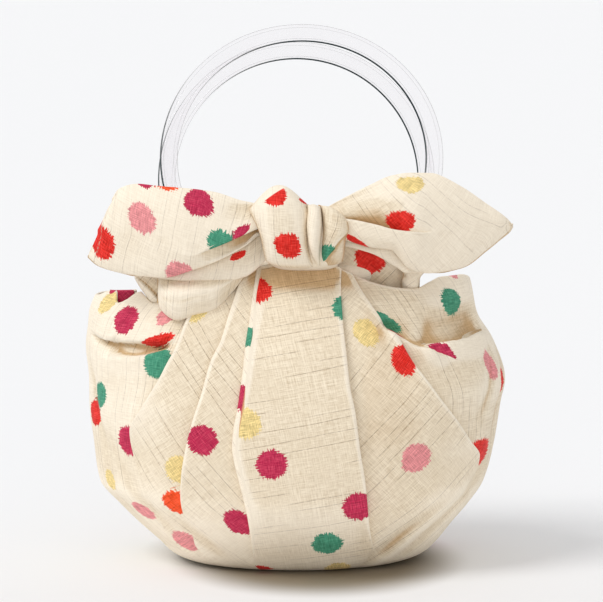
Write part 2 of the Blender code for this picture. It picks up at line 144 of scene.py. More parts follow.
DOTS = (
    Dot(Panel.CENTRE, Dye.RED, -25.4, 6.4),
    Dot(Panel.CENTRE, Dye.GREEN, 26.2, -3.4),
    Dot(Panel.CENTRE, Dye.YELLOW, -31.4, -69.9),
    Dot(Panel.SIDE_BAND, Dye.MAGENTA, -33.5, -55.1, 7.2),
    Dot(Panel.CENTRE, Dye.MAGENTA, -16.8, -93.1),
    Dot(Panel.CENTRE, Dye.MAGENTA, 32.3, -117.0),
    Dot(Panel.CENTRE, Dye.GREEN, 14.9, -138.6),
    Dot(Panel.CENTRE, Dye.YELLOW, 21.0, -153.6, 8.0),
    Dot(Panel.CENTRE, Dye.RED, -25.6, -154.6, 9.6, None, (90.0, 0.45)),
    Dot(Panel.LEFT_INNER, Dye.MAGENTA, -56.5, -79.0),
    Dot(Panel.LEFT_INNER, Dye.MAGENTA, -36.1, -126.1),
    Dot(Panel.SIDE_BAND, Dye.GREEN, -30.6, -20.6, 6.0),
    Dot(Panel.LEFT_OUTER, Dye.YELLOW, -61.6, -5.0, 8.0),
    Dot(Panel.LEFT_OUTER, Dye.YELLOW, -70.1, -95.6, 7.8),
    Dot(Panel.LEFT_OUTER, Dye.ORANGE, -71.8, -115.0, 7.8),
    Dot(Panel.LEFT_OUTER, Dye.PINK, -66.7, -136.9),
    Dot(Panel.LEFT_SIDE, Dye.GREEN, -81.5, -34.6),
    Dot(Panel.LEFT_SIDE, Dye.MAGENTA, -99.1, -79.5),
    Dot(Panel.LEFT_SIDE, Dye.GREEN, -115.4, -53.6, 7.5),
    Dot(Panel.LEFT_SIDE, Dye.RED, -118.2, -64.0, 7.5),
    Dot(Panel.LEFT_SIDE, Dye.YELLOW, -109.6, -101.9, 6.2),
    Dot(Panel.LEFT_SIDE, Dye.PINK, -91.0, -119.4, 6.8),
    Dot(Panel.LEFT_SIDE, Dye.MAGENTA, -101.0, -10.4, 8.3, None, (55.0, 0.76)),
    Dot(Panel.LEFT_SIDE, Dye.PINK, -77.8, -8.2, 5.2),
    Dot(Panel.LEFT_SIDE, Dye.RED, -82.4, -23.4, 9.4, None, (100.0, 0.36)),
    Dot(Panel.LEFT_SIDE, Dye.YELLOW, -111.8, -0.4, 6.8),
    Dot(Panel.RIGHT_INNER, Dye.YELLOW, 37.2, -18.0, 8.7, None, (0.0, 0.78)),
    Dot(Panel.RIGHT_INNER, Dye.RED, 58.0, -34.1, 8.6, None, (0.0, 0.80)),
    Dot(Panel.RIGHT_INNER, Dye.PINK, 65.0, -89.2),
    Dot(Panel.RIGHT_SIDE, Dye.PINK, 108.6, -36.8, 8.6, None, (0.0, 0.76)),
    Dot(Panel.RIGHT_SIDE, Dye.RED, 120.0, -46.0),
    Dot(Panel.RIGHT_SIDE, Dye.RED, 100.8, -87.0, 8.6, None, (0.0, 2.3)),
    Dot(Panel.RIGHT_SIDE, Dye.MAGENTA, 81.4, -31.0, 7.8, (62.0, -0.22)),
    Dot(Panel.RIGHT_SIDE, Dye.GREEN, 48.8, -11.8, 8.5, None, (50.0, 0.55)),
    Dot(Panel.RIGHT_SIDE, Dye.GREEN, 86.2, -0.8, 8.2),
    Dot(Panel.RIGHT_SIDE, Dye.PINK, 87.4, 16.0, 3.6),
    Dot(Panel.LEFT_TAIL, Dye.PINK, -90.6, 46.6),
    Dot(Panel.LEFT_TAIL, Dye.MAGENTA, -58.2, 56.2),
    Dot(Panel.LEFT_TAIL, Dye.RED, -114.8, 32.4, 9.4),
    Dot(Panel.LEFT_TAIL, Dye.GREEN, -45.6, 31.8, 8.5, (112.0, 0.18)),
    Dot(Panel.LEFT_TAIL, Dye.MAGENTA, -33.8, 37.2, 5.4, (118.0, 0.15)),
    Dot(Panel.LEFT_TAIL, Dye.ORANGE, -76.4, 71.0, 9.0),
    Dot(Panel.LEFT_TAIL, Dye.MAGENTA, -89.4, 68.4, 5.4),
    Dot(Panel.LEFT_TAIL, Dye.PINK, -69.0, 14.6, 8.6),
    Dot(Panel.LEFT_TAIL, Dye.RED, -35.8, 25.4, 5.2, None, (98.0, 0.42)),
    Dot(Panel.RIGHT_TAIL, Dye.YELLOW, 62.0, 66.0, 8.8, None, (64.0, 0.54)),
    Dot(Panel.RIGHT_TAIL, Dye.RED, 56.2, 44.9, 8.6, None, (84.0, 0.74)),
    Dot(Panel.RIGHT_TAIL, Dye.RED, 31.6, 32.4, 7.8, None, (68.0, 0.34)),
    Dot(Panel.KNOT_WIDE, Dye.RED, -8.2, 31.2, 7.6),
    Dot(Panel.KNOT_WIDE, Dye.RED, -15.7, 60.8, 7.4, (-52.0, 0.02)),
    Dot(Panel.KNOT_WIDE, Dye.RED, 3.0, 57.8, 4.8, None, (82.0, 0.45)),
    Dot(Panel.KNOT_RIGHT, Dye.GREEN, 14.2, 25.5, 7.0, (138.0, 0.30)),
    Dot(Panel.GUSSET, Dye.RED, 38.3, 23.3),
    Dot(Panel.GUSSET, Dye.MAGENTA, -102.4, 3.0, 8.2),
)


@dataclass(frozen=True)
class Eye:
    """The camera's place: what it looks at, from how far, and at what height, in metres and degrees."""

    target: tuple[float, float, float] = (0.002, 0.0, 0.147)
    distance: float = 1.6
    elevation: float = 6.5
    view_width: float = 0.3425
    sensor: float = 36.0

    def axes(self) -> tuple[np.ndarray, np.ndarray]:
        """The way the camera looks and its own up."""
        tilt = math.radians(self.elevation)
        ahead = np.array([0.0, math.cos(tilt), -math.sin(tilt)])
        upward = np.array([0.0, math.sin(tilt), math.cos(tilt)])
        return ahead, upward

    def seen(self, points: np.ndarray) -> np.ndarray:
        """Where points show, as (across, up) in millimetres in the plane through the target.

        Args:
            points: places in millimetres, the last axis being x, y, z.

        Returns:
            The places in that plane.
        """
        ahead, upward = self.axes()
        off = points - np.array(self.target) / MM
        shrink = (self.distance / MM) / (self.distance / MM + off @ ahead)
        return np.stack([off[..., 0] * shrink, (off @ upward) * shrink], axis=-1)

    def make(self) -> bpy.types.Object:
        """The camera itself, set as the scene's."""
        ahead, _ = self.axes()
        data = bpy.data.cameras.new("camera")
        data.sensor_width = self.sensor
        data.lens = self.sensor * self.distance / self.view_width
        camera = bpy.data.objects.new("camera", data)
        camera.location = Vector(self.target) - Vector(ahead) * self.distance
        camera.rotation_euler = (math.radians(90.0 - self.elevation), 0.0, 0.0)
        bpy.context.scene.collection.objects.link(camera)
        bpy.context.scene.camera = camera
        return camera


EYE = Eye()


def smooth_read(xs: list[float], ys: list[float], at: np.ndarray) -> np.ndarray:
    """A smooth curve through (xs, ys) that never overshoots them, read at the given places.

    Args:
        xs: rising places.
        ys: the values there.
        at: where to read.

    Returns:
        The values at those places.
    """
    xs, ys = np.asarray(xs, float), np.asarray(ys, float)
    gaps, rises = np.diff(xs), np.diff(ys)
    slopes = rises / gaps
    turns = np.zeros(len(xs))
    turns[0], turns[-1] = slopes[0], slopes[-1]
    for i in range(1, len(xs) - 1):
        if slopes[i - 1] * slopes[i] > 0:
            near, far = 2 * gaps[i] + gaps[i - 1], gaps[i] + 2 * gaps[i - 1]
            turns[i] = (near + far) / (near / slopes[i - 1] + far / slopes[i])
    at = np.clip(at, xs[0], xs[-1])
    i = np.clip(np.searchsorted(xs, at) - 1, 0, len(xs) - 2)
    t = (at - xs[i]) / gaps[i]
    return (
        (1 + 2 * t) * (1 - t) ** 2 * ys[i]
        + t * (1 - t) ** 2 * gaps[i] * turns[i]
        + t * t * (3 - 2 * t) * ys[i + 1]
        + t * t * (t - 1) * gaps[i] * turns[i + 1]
    )


def fade(value: np.ndarray, low: float, high: float) -> np.ndarray:
    """0 at or below low and 1 at or above high, with a soft start and end."""
    t = np.clip((value - low) / (high - low), 0.0, 1.0)
    return t * t * (3 - 2 * t)


def wrapped(angle: np.ndarray) -> np.ndarray:
    """The same angle, from -180 to 180 degrees."""
    return (angle + 180.0) % 360.0 - 180.0


def turned(x: np.ndarray, y: np.ndarray, angle: np.ndarray | float) -> np.ndarray:
    """Places on axes that are turned by an angle in radians, in the last axis."""
    cos, sin = np.cos(angle), np.sin(angle)
    return np.stack([x * cos + y * sin, y * cos - x * sin], axis=-1)


def shrunk_rings(ring: np.ndarray, sizes: tuple[float, ...], bulge: float = 0.0) -> list[np.ndarray]:
    """Smaller copies of a ring of points round its own middle, which close a tube's end.

    Args:
        ring: the ring of points.
        sizes: each copy's size, as a share of the ring's.
        bulge: how far up the smallest copy would stand.

    Returns:
        The copies, in the order of the sizes.
    """
    middle = ring.mean(axis=0)
    return [middle + (ring - middle) * size + (0, 0, bulge * (1 - size)) for size in sizes]


def signed_power(value: np.ndarray, power: np.ndarray) -> np.ndarray:
    """A power of the size of a value, with the value's own sign."""
    return np.sign(value) * np.abs(value) ** power


def lengths(points: np.ndarray, axis: int) -> np.ndarray:
    """How far along a grid's rows (axis 1) or columns (axis 0) each point lies."""
    steps = np.linalg.norm(np.diff(points, axis=axis), axis=2)
    first = np.zeros_like(np.take(steps, [0], axis=axis))
    return np.concatenate([first, np.cumsum(steps, axis=axis)], axis=axis)


@dataclass
class Sheet:
    """A grid of cloth. Its rows go up and its columns go to the right, as its outer face is seen.

    points are in millimetres. lay gives each point's place in the cloth before the weave's slant,
    panel the panel's number, and hem how far the cloth's cut edge is. tone is painted shade, which
    makes the cloth tanner above 0, as in a fold, and painted light, which makes it paler below 0, as on a
    crest.
    """

    points: np.ndarray
    lay: np.ndarray
    panel: np.ndarray
    hem: np.ndarray
    ring: bool = False
    thick: float = 1.1
    tone: np.ndarray | float = 0.0
    outward: np.ndarray = field(default_factory=lambda: np.zeros(0))

    def __post_init__(self) -> None:
        """Works out which way the outer face looks at each point."""
        points = self.points
        if self.ring:
            along = np.roll(points, -1, axis=1) - np.roll(points, 1, axis=1)
        else:
            along = np.gradient(points, axis=1)
        normal = np.cross(along, np.gradient(points, axis=0))
        size = np.linalg.norm(normal, axis=2, keepdims=True)
        self.outward = normal / np.maximum(size, 1e-9)

    def painted_shading(self) -> np.ndarray:
        """How much painted shade each point gets, from 1 in a crease to -1 for painted highlight on a crest,
        from how deep it lies in a fold plus its tone.
        """
        total = np.zeros(self.panel.shape)
        for axis in (0, 1):
            last = self.points.shape[axis] - 1
            for step, weight in ((1, 0.5), (2, 0.5), (4, 0.6), (7, 0.5)):
                at = np.arange(last + 1)
                low, high = at - step, at + step
                if axis == 1 and self.ring:
                    low, high = low % (last + 1), high % (last + 1)
                low, high = np.clip(low, 0, last), np.clip(high, 0, last)
                before, after = np.take(self.points, low, axis), np.take(self.points, high, axis)
                rise = ((before + after) / 2 - self.points) * self.outward
                span = np.linalg.norm(after - before, axis=2) / 2 + 0.4
                total += weight * np.clip(rise.sum(axis=2) / span, -1, 1)
        return np.clip(total * 1.6 + 0.05 + self.tone, -1.0, 1.0)

    def thread(self) -> np.ndarray:
        """Each point's place in the weave, along the slubs and across them."""
        slants = np.zeros(len(Panel))
        for panel, slant in SLUB_SLANT.items():
            slants[panel.value] = math.radians(slant)
        return turned(self.lay[..., 0], self.lay[..., 1], slants[self.panel])


def flat_sheet(points: np.ndarray, panel: Panel, hem: np.ndarray | None = None, ring: bool = False) -> Sheet:
    """A sheet of one panel whose place in the cloth follows its own rows and columns.

    Args:
        points: the grid, rows up and columns to the right.
        panel: the panel that all of it belongs to.
        hem: how far the cut edge is, where it has one.
        ring: whether its last column joins its first.

    Returns:
        The sheet.
    """
    s, t = lengths(points, 1), lengths(points, 0)
    middle = points.shape[1] // 2
    lay = np.stack([s - s[:, middle : middle + 1], t], axis=-1)
    numbers = np.full(points.shape[:2], panel.value)
    far = np.full(points.shape[:2], NO_HEM)
    return Sheet(points, lay, numbers, far if hem is None else hem, ring)


@dataclass(frozen=True)
class Section:
    """The pouch at one height: half widths, half depths, and how square it is."""

    up: float
    left: float
    right: float
    front: float
    back: float
    square: float


@dataclass(frozen=True)
class Pleat:
    """A pleat's edge from its top down, the side on top, and how it stands proud and runs out."""

    path: tuple[tuple[float, float], ...]
    over: str
    proud: float
    fades: float
    gone: float
    roll: float = 0.9

    def shown(self, up: np.ndarray) -> np.ndarray:
        """How much of the pleat there is at heights, from 0 to 1."""
        return fade(up, self.gone, self.fades)

    def rise(self, up: np.ndarray) -> np.ndarray:
        """How proud its edge stands at heights."""
        return self.proud * self.shown(up)


@dataclass(frozen=True)
class Trough:
    """A soft fold of the pouch, or a ridge where the depth is negative."""

    angle: float
    up: float
    round: float
    tall: float
    deep: float
    slant: float = 0.0


@dataclass(frozen=True)
class Tuck:
    """A fold of the pouch's wall that lies over its neighbour along a line seen from the front.

    The line is (across, up) points. Where above is true the cloth above the line lies on top.
    """

    line: tuple[tuple[float, float], ...]
    above: bool
    out: float
    slide: float
    reach: float
    sink: float
    sink_reach: float
    ends: float = 10.0


# how steeply a pleat falls away from its edge, and how near the outline an edge may run
PLEAT_FALL = 1.6
PLEAT_WIDEST = 0.985


@dataclass
class Pouch:
    """The pleated pouch with its base and its lining."""

    thick: float = 1.8
    sections: tuple[Section, ...] = (
        Section(0.0, 57, 54, 41, 36, 2.2),
        Section(1.5, 65, 63, 47, 42, 2.2),
        Section(5.0, 73, 73, 52.5, 49, 2.2),
        Section(11.0, 79, 79.5, 58, 55, 2.2),
        Section(22.0, 91, 88.5, 66, 62, 2.2),
        Section(33.0, 101.5, 98, 71.5, 68, 2.2),
        Section(45.0, 111, 106, 75, 71, 2.2),
        Section(67.0, 114, 111.5, 78, 73, 2.2),
        Section(90.0, 116.5, 115.5, 76, 72, 2.15),
        Section(102.0, 116.5, 118, 73.5, 70, 2.1),
        Section(125.0, 118.5, 111, 66, 60, 2.05),
        Section(140.0, 117, 103, 58, 47, 2.0),
        Section(150.0, 113, 99.5, 52, 39, 2.0),
        Section(160.0, 106, 97, 44.5, 35, 1.95),
        Section(168.0, 99, 93, 39, 32, 1.9),
        Section(176.0, 92, 90, 35, 30, 1.9),
    )
    rim: tuple[tuple[float, float], ...] = (
        (-180, 152), (-165, 150), (-150, 144), (-136, 142), (-120, 148), (-105, 151), (-90, 150.5),
        (-82, 151.2), (-74, 154.0), (-68, 154.8), (-62, 148.3), (-58, 150.5), (-54, 155.5), (-50, 153),
        (-45, 149.5), (-39, 152), (-30, 158), (-20, 164), (-12, 171), (0, 173),
        (12, 172), (18, 168), (26, 161.5), (34, 158.5), (42, 157.5), (49, 160.5), (57, 163),
        (72, 163), (90, 161), (106, 158), (122, 149), (138, 142), (152, 144), (166, 150), (180, 152),
    )
    front_pleats: tuple[Pleat, ...] = (
        Pleat(((-52, 160), (-61, 144), (-68.5, 126), (-77, 110), (-86.5, 94), (-93, 81), (-86, 50),
               (-74, 20)), "right", 4.6, 95, 62),
        Pleat(((-29, 172), (-38, 146), (-43, 131), (-47.7, 122), (-53, 104), (-58.6, 87), (-62.4, 71),
               (-64.5, 57), (-65, 46), (-58, 15)), "right", 5.6, 70, 30),
        Pleat(((-22.4, 172), (-25, 156), (-27, 142), (-29.2, 128), (-31, 112), (-33, 98), (-35.7, 84),
               (-36.3, 76), (-35.2, 68), (-32.5, 57), (-27.6, 35), (-24, 5)), "right", 6.2, 40, 4, 2.3),
        Pleat(((24, 172), (23.5, 161), (24.5, 143), (26.2, 128), (28.3, 109), (31.1, 95), (33.8, 74),
               (36.5, 57), (39.2, 30), (42, 14)), "left", 6.2, 40, 4),
        Pleat(((27, 172), (36.5, 156), (44.6, 145), (53.3, 133), (63, 120), (71.7, 109), (79, 99),
               (87, 88), (94.5, 76), (101, 65), (99, 45), (84, 18)), "left", 5.6, 74, 48),
    )
    back_pleats: tuple[Pleat, ...] = (
        Pleat(((60, 150), (72, 124), (84, 96), (90, 70), (84, 45), (72, 18)), "left", 3.0, 88, 62),
        Pleat(((30, 152), (39, 126), (50, 96), (58, 66), (62, 44), (54, 14)), "left", 3.4, 66, 36),
        Pleat(((19, 152), (24, 126), (30, 98), (33, 72), (31, 50), (25, 6)), "left", 3.8, 40, 6),
        Pleat(((-22, 152), (-25, 126), (-28, 98), (-33, 68), (-37, 36), (-40, 12)), "right", 3.8, 40, 6),
        Pleat(((-28, 152), (-44, 128), (-62, 104), (-78, 84), (-92, 62), (-90, 44), (-76, 18)),
              "right", 3.4, 74, 50),
    )
    troughs: tuple[Trough, ...] = (
        Trough(62, 141, 24, 8, 5.0),
        Trough(-60, 141, 16, 6, -1.5),
        Trough(122, 136, 22, 10, 4.0),
        Trough(-118, 134, 24, 10, 4.5),
        Trough(-70, 52, 9, 30, 2.0),
        Trough(104, 62, 10, 34, 1.4),
        Trough(-104, 70, 10, 36, 2.0),
        Trough(38, 18, 6.5, 18, 3.2, 0.50),
        Trough(48, 24, 5.0, 18, -1.2, 0.50),
        Trough(60, 34, 7.5, 24, 2.4, 0.50),
        Trough(-36, 20, 6, 14, 2.6, -0.4),
        Trough(-52, 36, 6, 26, 2.2, -0.3),
        Trough(82, 92, 6, 26, 2.6, 0.2),
        Trough(66, 104, 3, 18, 1.8, 0.3),
        Trough(-76, 90, 3.5, 22, 1.8, -0.2),
    )
    tucks: tuple[Tuck, ...] = (
        Tuck(((-118, 131), (-102, 129.5), (-89, 130), (-68, 130.5)), True, 2.6, 3.4, 10, 4.6, 6),
        Tuck(((-108, 122), (-98, 120.5), (-88, 121.5), (-78, 124.5), (-68, 128)),
             False, 1.6, 1.8, 7, 3.0, 4, 7),
        Tuck(((64, 131), (70, 129.5), (76, 128.8), (90, 129.5), (98, 131), (110, 133)),
             False, 3.2, 2.0, 10, 6.0, 11),
        Tuck(((44, 141), (52, 136), (60, 131), (70, 125.5), (84, 118)), False, 2.0, 1.2, 6, 2.6, 6, 8),
    )
    swells: tuple[tuple[int, float, float], ...] = ((3, 0.9, 20.0), (7, 0.6, 75.0))
    counts: tuple[int, ...] = (26, 26, 44, 44, 74, 22, 22, 40, 40, 74)
    base_ups: tuple[float, ...] = (0.0, 0.25, 0.7, 1.4, 2.3, 3.4, 4.8)
    base_sizes: tuple[float, ...] = (0.02, 0.2, 0.4, 0.6, 0.8, 0.93)
    turned_in: tuple[tuple[float, float], ...] = (
        (0.5, -0.5), (1.5, -0.2), (2.3, 1.0), (2.5, 4.0), (2.5, 8.0),
    )
    wall_rows: int = 92
    crown: float = 1.6
    lip_steps: int = 9
    lip_band: tuple[int, int] = (2, 6)
    tuck_lip: tuple[float, float] = (-1.7, 2.3)
    tuck_end: float = 15.0

    def column(self, name: str, up: np.ndarray) -> np.ndarray:
        """One named column of the sections, read at heights."""
        rows = [getattr(row, name) for row in self.sections]
        return smooth_read([row.up for row in self.sections], rows, up)

    def rim_height(self, angle: np.ndarray) -> np.ndarray:
        """How high the mouth's edge stands at an angle."""
        return smooth_read([row[0] for row in self.rim], [row[1] for row in self.rim], wrapped(angle))

    def point(self, angle: np.ndarray, up: np.ndarray, proud: np.ndarray) -> np.ndarray:
        """Points of the pouch's outside, standing proud of its plain shape.

        Args:
            angle: degrees from the front round past the right side.
            up: heights.
            proud: how far out of the plain shape.

        Returns:
            The points, x, y and z in the last axis.
        """
        side, face = np.sin(np.radians(angle)), np.cos(np.radians(angle))
        wide = np.where(side > 0, self.column("right", up), self.column("left", up))
        deep = np.where(face > 0, self.column("front", up), self.column("back", up))
        power = 2 / self.column("square", up)
        x, y = wide * signed_power(side, power), -deep * signed_power(face, power)
        out = np.stack([x / wide**2, y / deep**2], axis=-1)
        out /= np.linalg.norm(out, axis=-1, keepdims=True)
        return np.stack([x + out[..., 0] * proud, y + out[..., 1] * proud, up + 0 * x], axis=-1)

    def pleat_angle(self, pleat: Pleat, back: bool, up: np.ndarray) -> np.ndarray:
        """The angle of a pleat's edge at heights, which it keeps past its path's ends."""
        path = pleat.path[::-1]
        up = np.clip(up, path[0][1], path[-1][1])
        across = smooth_read([p[1] for p in path], [p[0] for p in path], up)
        wide = np.where(across > 0, self.column("right", up), self.column("left", up))
        deep = self.column("back" if back else "front", up)
        level = np.clip(np.abs(across) / wide, 0, PLEAT_WIDEST)
        sideways, ahead = level / wide, np.sqrt(1 - level * level) / deep
        proud = pleat.rise(up)
        across = across - np.sign(across) * 0.75 * proud * sideways / np.hypot(sideways, ahead)
        share = np.minimum(PLEAT_WIDEST, np.abs(across) / wide) ** (self.column("square", up) / 2)
        angle = np.degrees(np.sign(across) * np.arcsin(share))
        return 180.0 - angle if back else angle

    def unevenness(self, angle: np.ndarray, up: np.ndarray) -> np.ndarray:
        """The slow swells and the soft folds at places on the pouch."""
        out = 0 * up
        for waves, high, turn in self.swells:
            out = out + high * np.sin(np.radians(waves * angle + turn))
        out = out * fade(up, 8, 50)
        for fold in self.troughs:
            rise = up - fold.up
            away = wrapped(angle - fold.angle - fold.slant * rise) / fold.round
            out = out - fold.deep * np.exp(-away * away - (rise / fold.tall) ** 2)
        return out

    def edge_steps(self, pleat: Pleat, up: np.ndarray) -> list[tuple[np.ndarray, np.ndarray]]:
        """How a pleat's lip rolls under: each step's way past the edge and how proud it stands."""
        proud, size = pleat.rise(up), pleat.shown(up)
        roll = pleat.roll * size * (1 - 0.6 * fade(up, 130, 158))
        return [
            (-1.2 * roll, proud),
            (-1.18 * roll, proud - 0.01 * roll),
            (-0.7 * roll, proud - 0.14 * roll),
            (-0.25 * roll, proud - 0.42 * roll),
            (0.0 * roll, proud - 0.9 * roll - 0.2 * size),
            (-0.3 * roll, np.maximum(proud * 0.25, proud - 1.6 * roll - 0.4 * size)),
            (-1.5 * roll - 1.2 * size + 0.02, proud * 0.22),
            (-1.5 * roll - 3.0 * size + 0.04, proud * 0.1),
            (-1.5 * roll - 4.5 * size + 0.06, proud * 0.0),
        ]

    def columns(self) -> tuple[list[Callable[[np.ndarray], tuple[np.ndarray, np.ndarray]]], list[int]]:
        """Every column of the wall, from the leftmost pleat of the front round past the right side.

        Returns:
            For each column a function from heights to its angle and how proud it is, and its panel.
        """
        edges = [(pleat, False) for pleat in self.front_pleats]
        edges += [(pleat, True) for pleat in self.back_pleats]
        made, panels = [], []
        for number, count in enumerate(self.counts):
            last = number + 1 == len(edges)
            start, end = edges[number], edges[0] if last else edges[number + 1]
            turn = 360.0 if last else 0.0
            start_over = (start[0].over == "right") != start[1]
            end_over = (end[0].over == "left") != end[1]
            for step in range(count + 1):
                made.append(self.body_column(start, end, turn, step / count, start_over, end_over))
                panels.append(number)
            over_edge, over_end = (end, True) if end_over else (end, False)
            for step in range(self.lip_steps):
                index = step if over_end else self.lip_steps - 1 - step
                made.append(self.lip_column(over_edge, turn, index, 1.0 if over_end else -1.0))
                beneath = index > self.lip_band[1]
                owner = number if over_end != beneath else (number + 1) % len(edges)
                banded = number == Panel.LEFT_INNER.value and self.lip_band[0] <= index and not beneath
                panels.append(Panel.SIDE_BAND.value if banded else owner)
        return made, panels

    def body_column(
        self, start: tuple[Pleat, bool], end: tuple[Pleat, bool], turn: float, share: float,
        start_over: bool, end_over: bool,
    ) -> Callable[[np.ndarray], tuple[np.ndarray, np.ndarray]]:
        """A column inside a panel, at a share of the way from one pleat edge to the next."""

        def at(up: np.ndarray) -> tuple[np.ndarray, np.ndarray]:
            """The column's angle and how proud it is, at heights."""
            degree = np.degrees(1.0 / self.column("front", up))
            beneath = [-(1.5 * pleat.roll + 4.7) * pleat.shown(up) + 0.1 for pleat, _ in (start, end)]
            rolled = [1.4 * pleat.roll * pleat.shown(up) + 0.02 for pleat, _ in (start, end)]
            low = self.pleat_angle(*start, up) + degree * (rolled[0] if start_over else beneath[0])
            high = self.pleat_angle(*end, up) + turn - degree * (rolled[1] if end_over else beneath[1])
            angle = low + (high - low) * share
            proud = self.crown * np.sin(np.pi * share) * fade(up, 10, 60)
            if start_over:
                proud = proud + start[0].rise(up) * (1 - share) ** PLEAT_FALL
            if end_over:
                proud = proud + end[0].rise(up) * share**PLEAT_FALL
            return angle, proud + self.unevenness(wrapped(angle), up)

        return at

    def lip_column(
        self, edge: tuple[Pleat, bool], turn: float, index: int, way: float
    ) -> Callable[[np.ndarray], tuple[np.ndarray, np.ndarray]]:
        """A column of a pleat's rolled lip, or of the cloth that turns back beneath it."""

        def at(up: np.ndarray) -> tuple[np.ndarray, np.ndarray]:
            """The column's angle and how proud it is, at heights."""
            past, proud = self.edge_steps(edge[0], up)[index]
            degree = np.degrees(1.0 / self.column("front", up))
            angle = self.pleat_angle(*edge, up) + turn + way * past * degree
            return angle, proud + self.unevenness(wrapped(angle), up)

        return at

    def tucked(self, points: np.ndarray, outward: np.ndarray) -> np.ndarray:
        """The wall's points with the overlapping folds pressed into them."""
        moved = points.copy()
        for tuck in self.tucks:
            xs, zs = [p[0] for p in tuck.line], [p[1] for p in tuck.line]
            x, z = points[..., 0], points[..., 2]
            way = 1.0 if tuck.above else -1.0
            past = way * (z - smooth_read(xs, zs, x))
            inside = fade(x, xs[0], xs[0] + tuck.ends) * (1 - fade(x, xs[-1] - tuck.ends, xs[-1]))
            inside = inside * fade(-points[..., 1], 0.0, self.tuck_end)
            over = fade(past, *self.tuck_lip)
            on_top = over * np.exp(-((np.maximum(past, 0) / tuck.reach) ** 2)) * inside
            below = (1 - over) * np.exp(-((np.minimum(past, 0) / tuck.sink_reach) ** 2)) * inside
            moved += outward * (tuck.out * on_top - tuck.sink * below)[..., None]
            moved[..., 2] -= way * tuck.slide * on_top
        return moved

    def places_in_cloth(self, angle: np.ndarray, up: np.ndarray, panels: np.ndarray) -> np.ndarray:
        """Where the wall's points lie in the flat cloth, each panel from a line of its own.

        Args:
            angle: each point's angle.
            up: each point's height.
            panels: each column's panel.

        Returns:
            The way round and the way up, in the last axis.
        """
        heights = np.linspace(0, self.sections[-1].up, 89)
        turns = np.linspace(-180, 540, 721)
        rings = np.stack([self.point(wrapped(turns), np.full_like(turns, h), 0 * turns) for h in heights])
        arcs = lengths(rings, 1)
        lines = lengths(rings, 0)
        row = np.clip(up / heights[1], 0, len(heights) - 1.001)
        low, share = row.astype(int), row - row.astype(int)

        def read(table: np.ndarray, turn: np.ndarray) -> np.ndarray:
            """The table at each point's height and an angle."""
            place = np.clip(turn + 180.0, 0, len(turns) - 1.001)
            left, part = place.astype(int), place - place.astype(int)
            near = table[low, left] * (1 - part) + table[low, left + 1] * part
            far = table[low + 1, left] * (1 - part) + table[low + 1, left + 1] * part
            return near * (1 - share) + far * share

        own = np.zeros_like(angle)
        for number in set(panels.tolist()):
            chosen = panels == number
            own[:, chosen] = np.median(angle[:, chosen])
        return np.stack([read(arcs, angle) - read(arcs, own), read(lines, own)], axis=-1)

    def wall(self) -> Sheet:
        """The pleated wall with its base and the cloth turned in at the mouth."""
        columns, numbers = self.columns()
        grid, angles, ups = [], [], []
        for place in columns:
            top = np.array([100.0])
            for _ in range(3):
                top = self.rim_height(place(top)[0])
            share = np.linspace(0, 1, self.wall_rows + 1)[1:]
            low = self.base_ups[-1]
            up = np.concatenate([self.base_ups, low + (top - low) * (1 - (1 - share) ** 1.08)])
            angle, proud = place(up)
            line = self.point(wrapped(angle), up, proud)
            turned = []
            for inward, drop in self.turned_in:
                turned.append(self.point(wrapped(angle[-1:]), up[-1:] - drop, proud[-1:] - inward)[0])
            grid.append(np.concatenate([line, np.array(turned)]))
            angles.append(np.concatenate([angle, np.repeat(angle[-1:], len(turned))]))
            ups.append(np.concatenate([up, up[-1] + 2.0 * np.arange(1, len(turned) + 1)]))
        points = np.stack(grid, axis=1)
        panels = np.array(numbers)
        lay = self.places_in_cloth(np.stack(angles, axis=1), np.stack(ups, axis=1), panels)
        foot = points[0]
        base, under = [], []
        for size in self.base_sizes:
            base.append(foot * (size, size, 0.0))
            under.append(np.stack([lay[0, :, 0] * size, (size - 1) * np.linalg.norm(foot, axis=1)], axis=-1))
        points = np.concatenate([np.array(base), points])
        lay = np.concatenate([np.array(under), lay])
        panel = np.broadcast_to(panels, points.shape[:2]).copy()
        hem = np.full(points.shape[:2], NO_HEM)
        plain = Sheet(points, lay, panel, hem, ring=True)
        points = self.tucked(points, plain.outward)
        return Sheet(points, lay, panel, hem, ring=True, tone=self.painted_wall_shading(points))

    @staticmethod
    def painted_wall_shading(points: np.ndarray) -> np.ndarray:
        """How much painted shade tans the wall, above 0, or how much painted light pales it, below 0."""
        x, z, ahead = points[..., 0], points[..., 2], points[..., 1] < 0
        # painted shade under the knot and on the panels either side of the middle
        beneath_knot = fade(z, 155, 167) * (1 - fade(np.abs(x - 2), 24, 36)) * ahead
        right_side = fade(x, 28, 40) * (1 - fade(x, 60, 84)) * ahead
        left_side = fade(-x, 28, 40) * (1 - fade(-x, 58, 74)) * fade(z, 60, 90) * ahead
        # painted light on the shoulders, and painted bounce light from the floor near the foot
        right_shoulder = fade(x, 66, 80) * fade(z, 112, 124) * ahead
        left_shoulder = fade(-x, 60, 95) * fade(z, 40, 110)
        foot = 1 - fade(z, 15, 75)
        tan = 1.5 * beneath_knot + 0.4 * right_side + 0.15 * left_side
        return tan - (left_shoulder * 0.5 + foot * 0.45) - 0.35 * right_shoulder

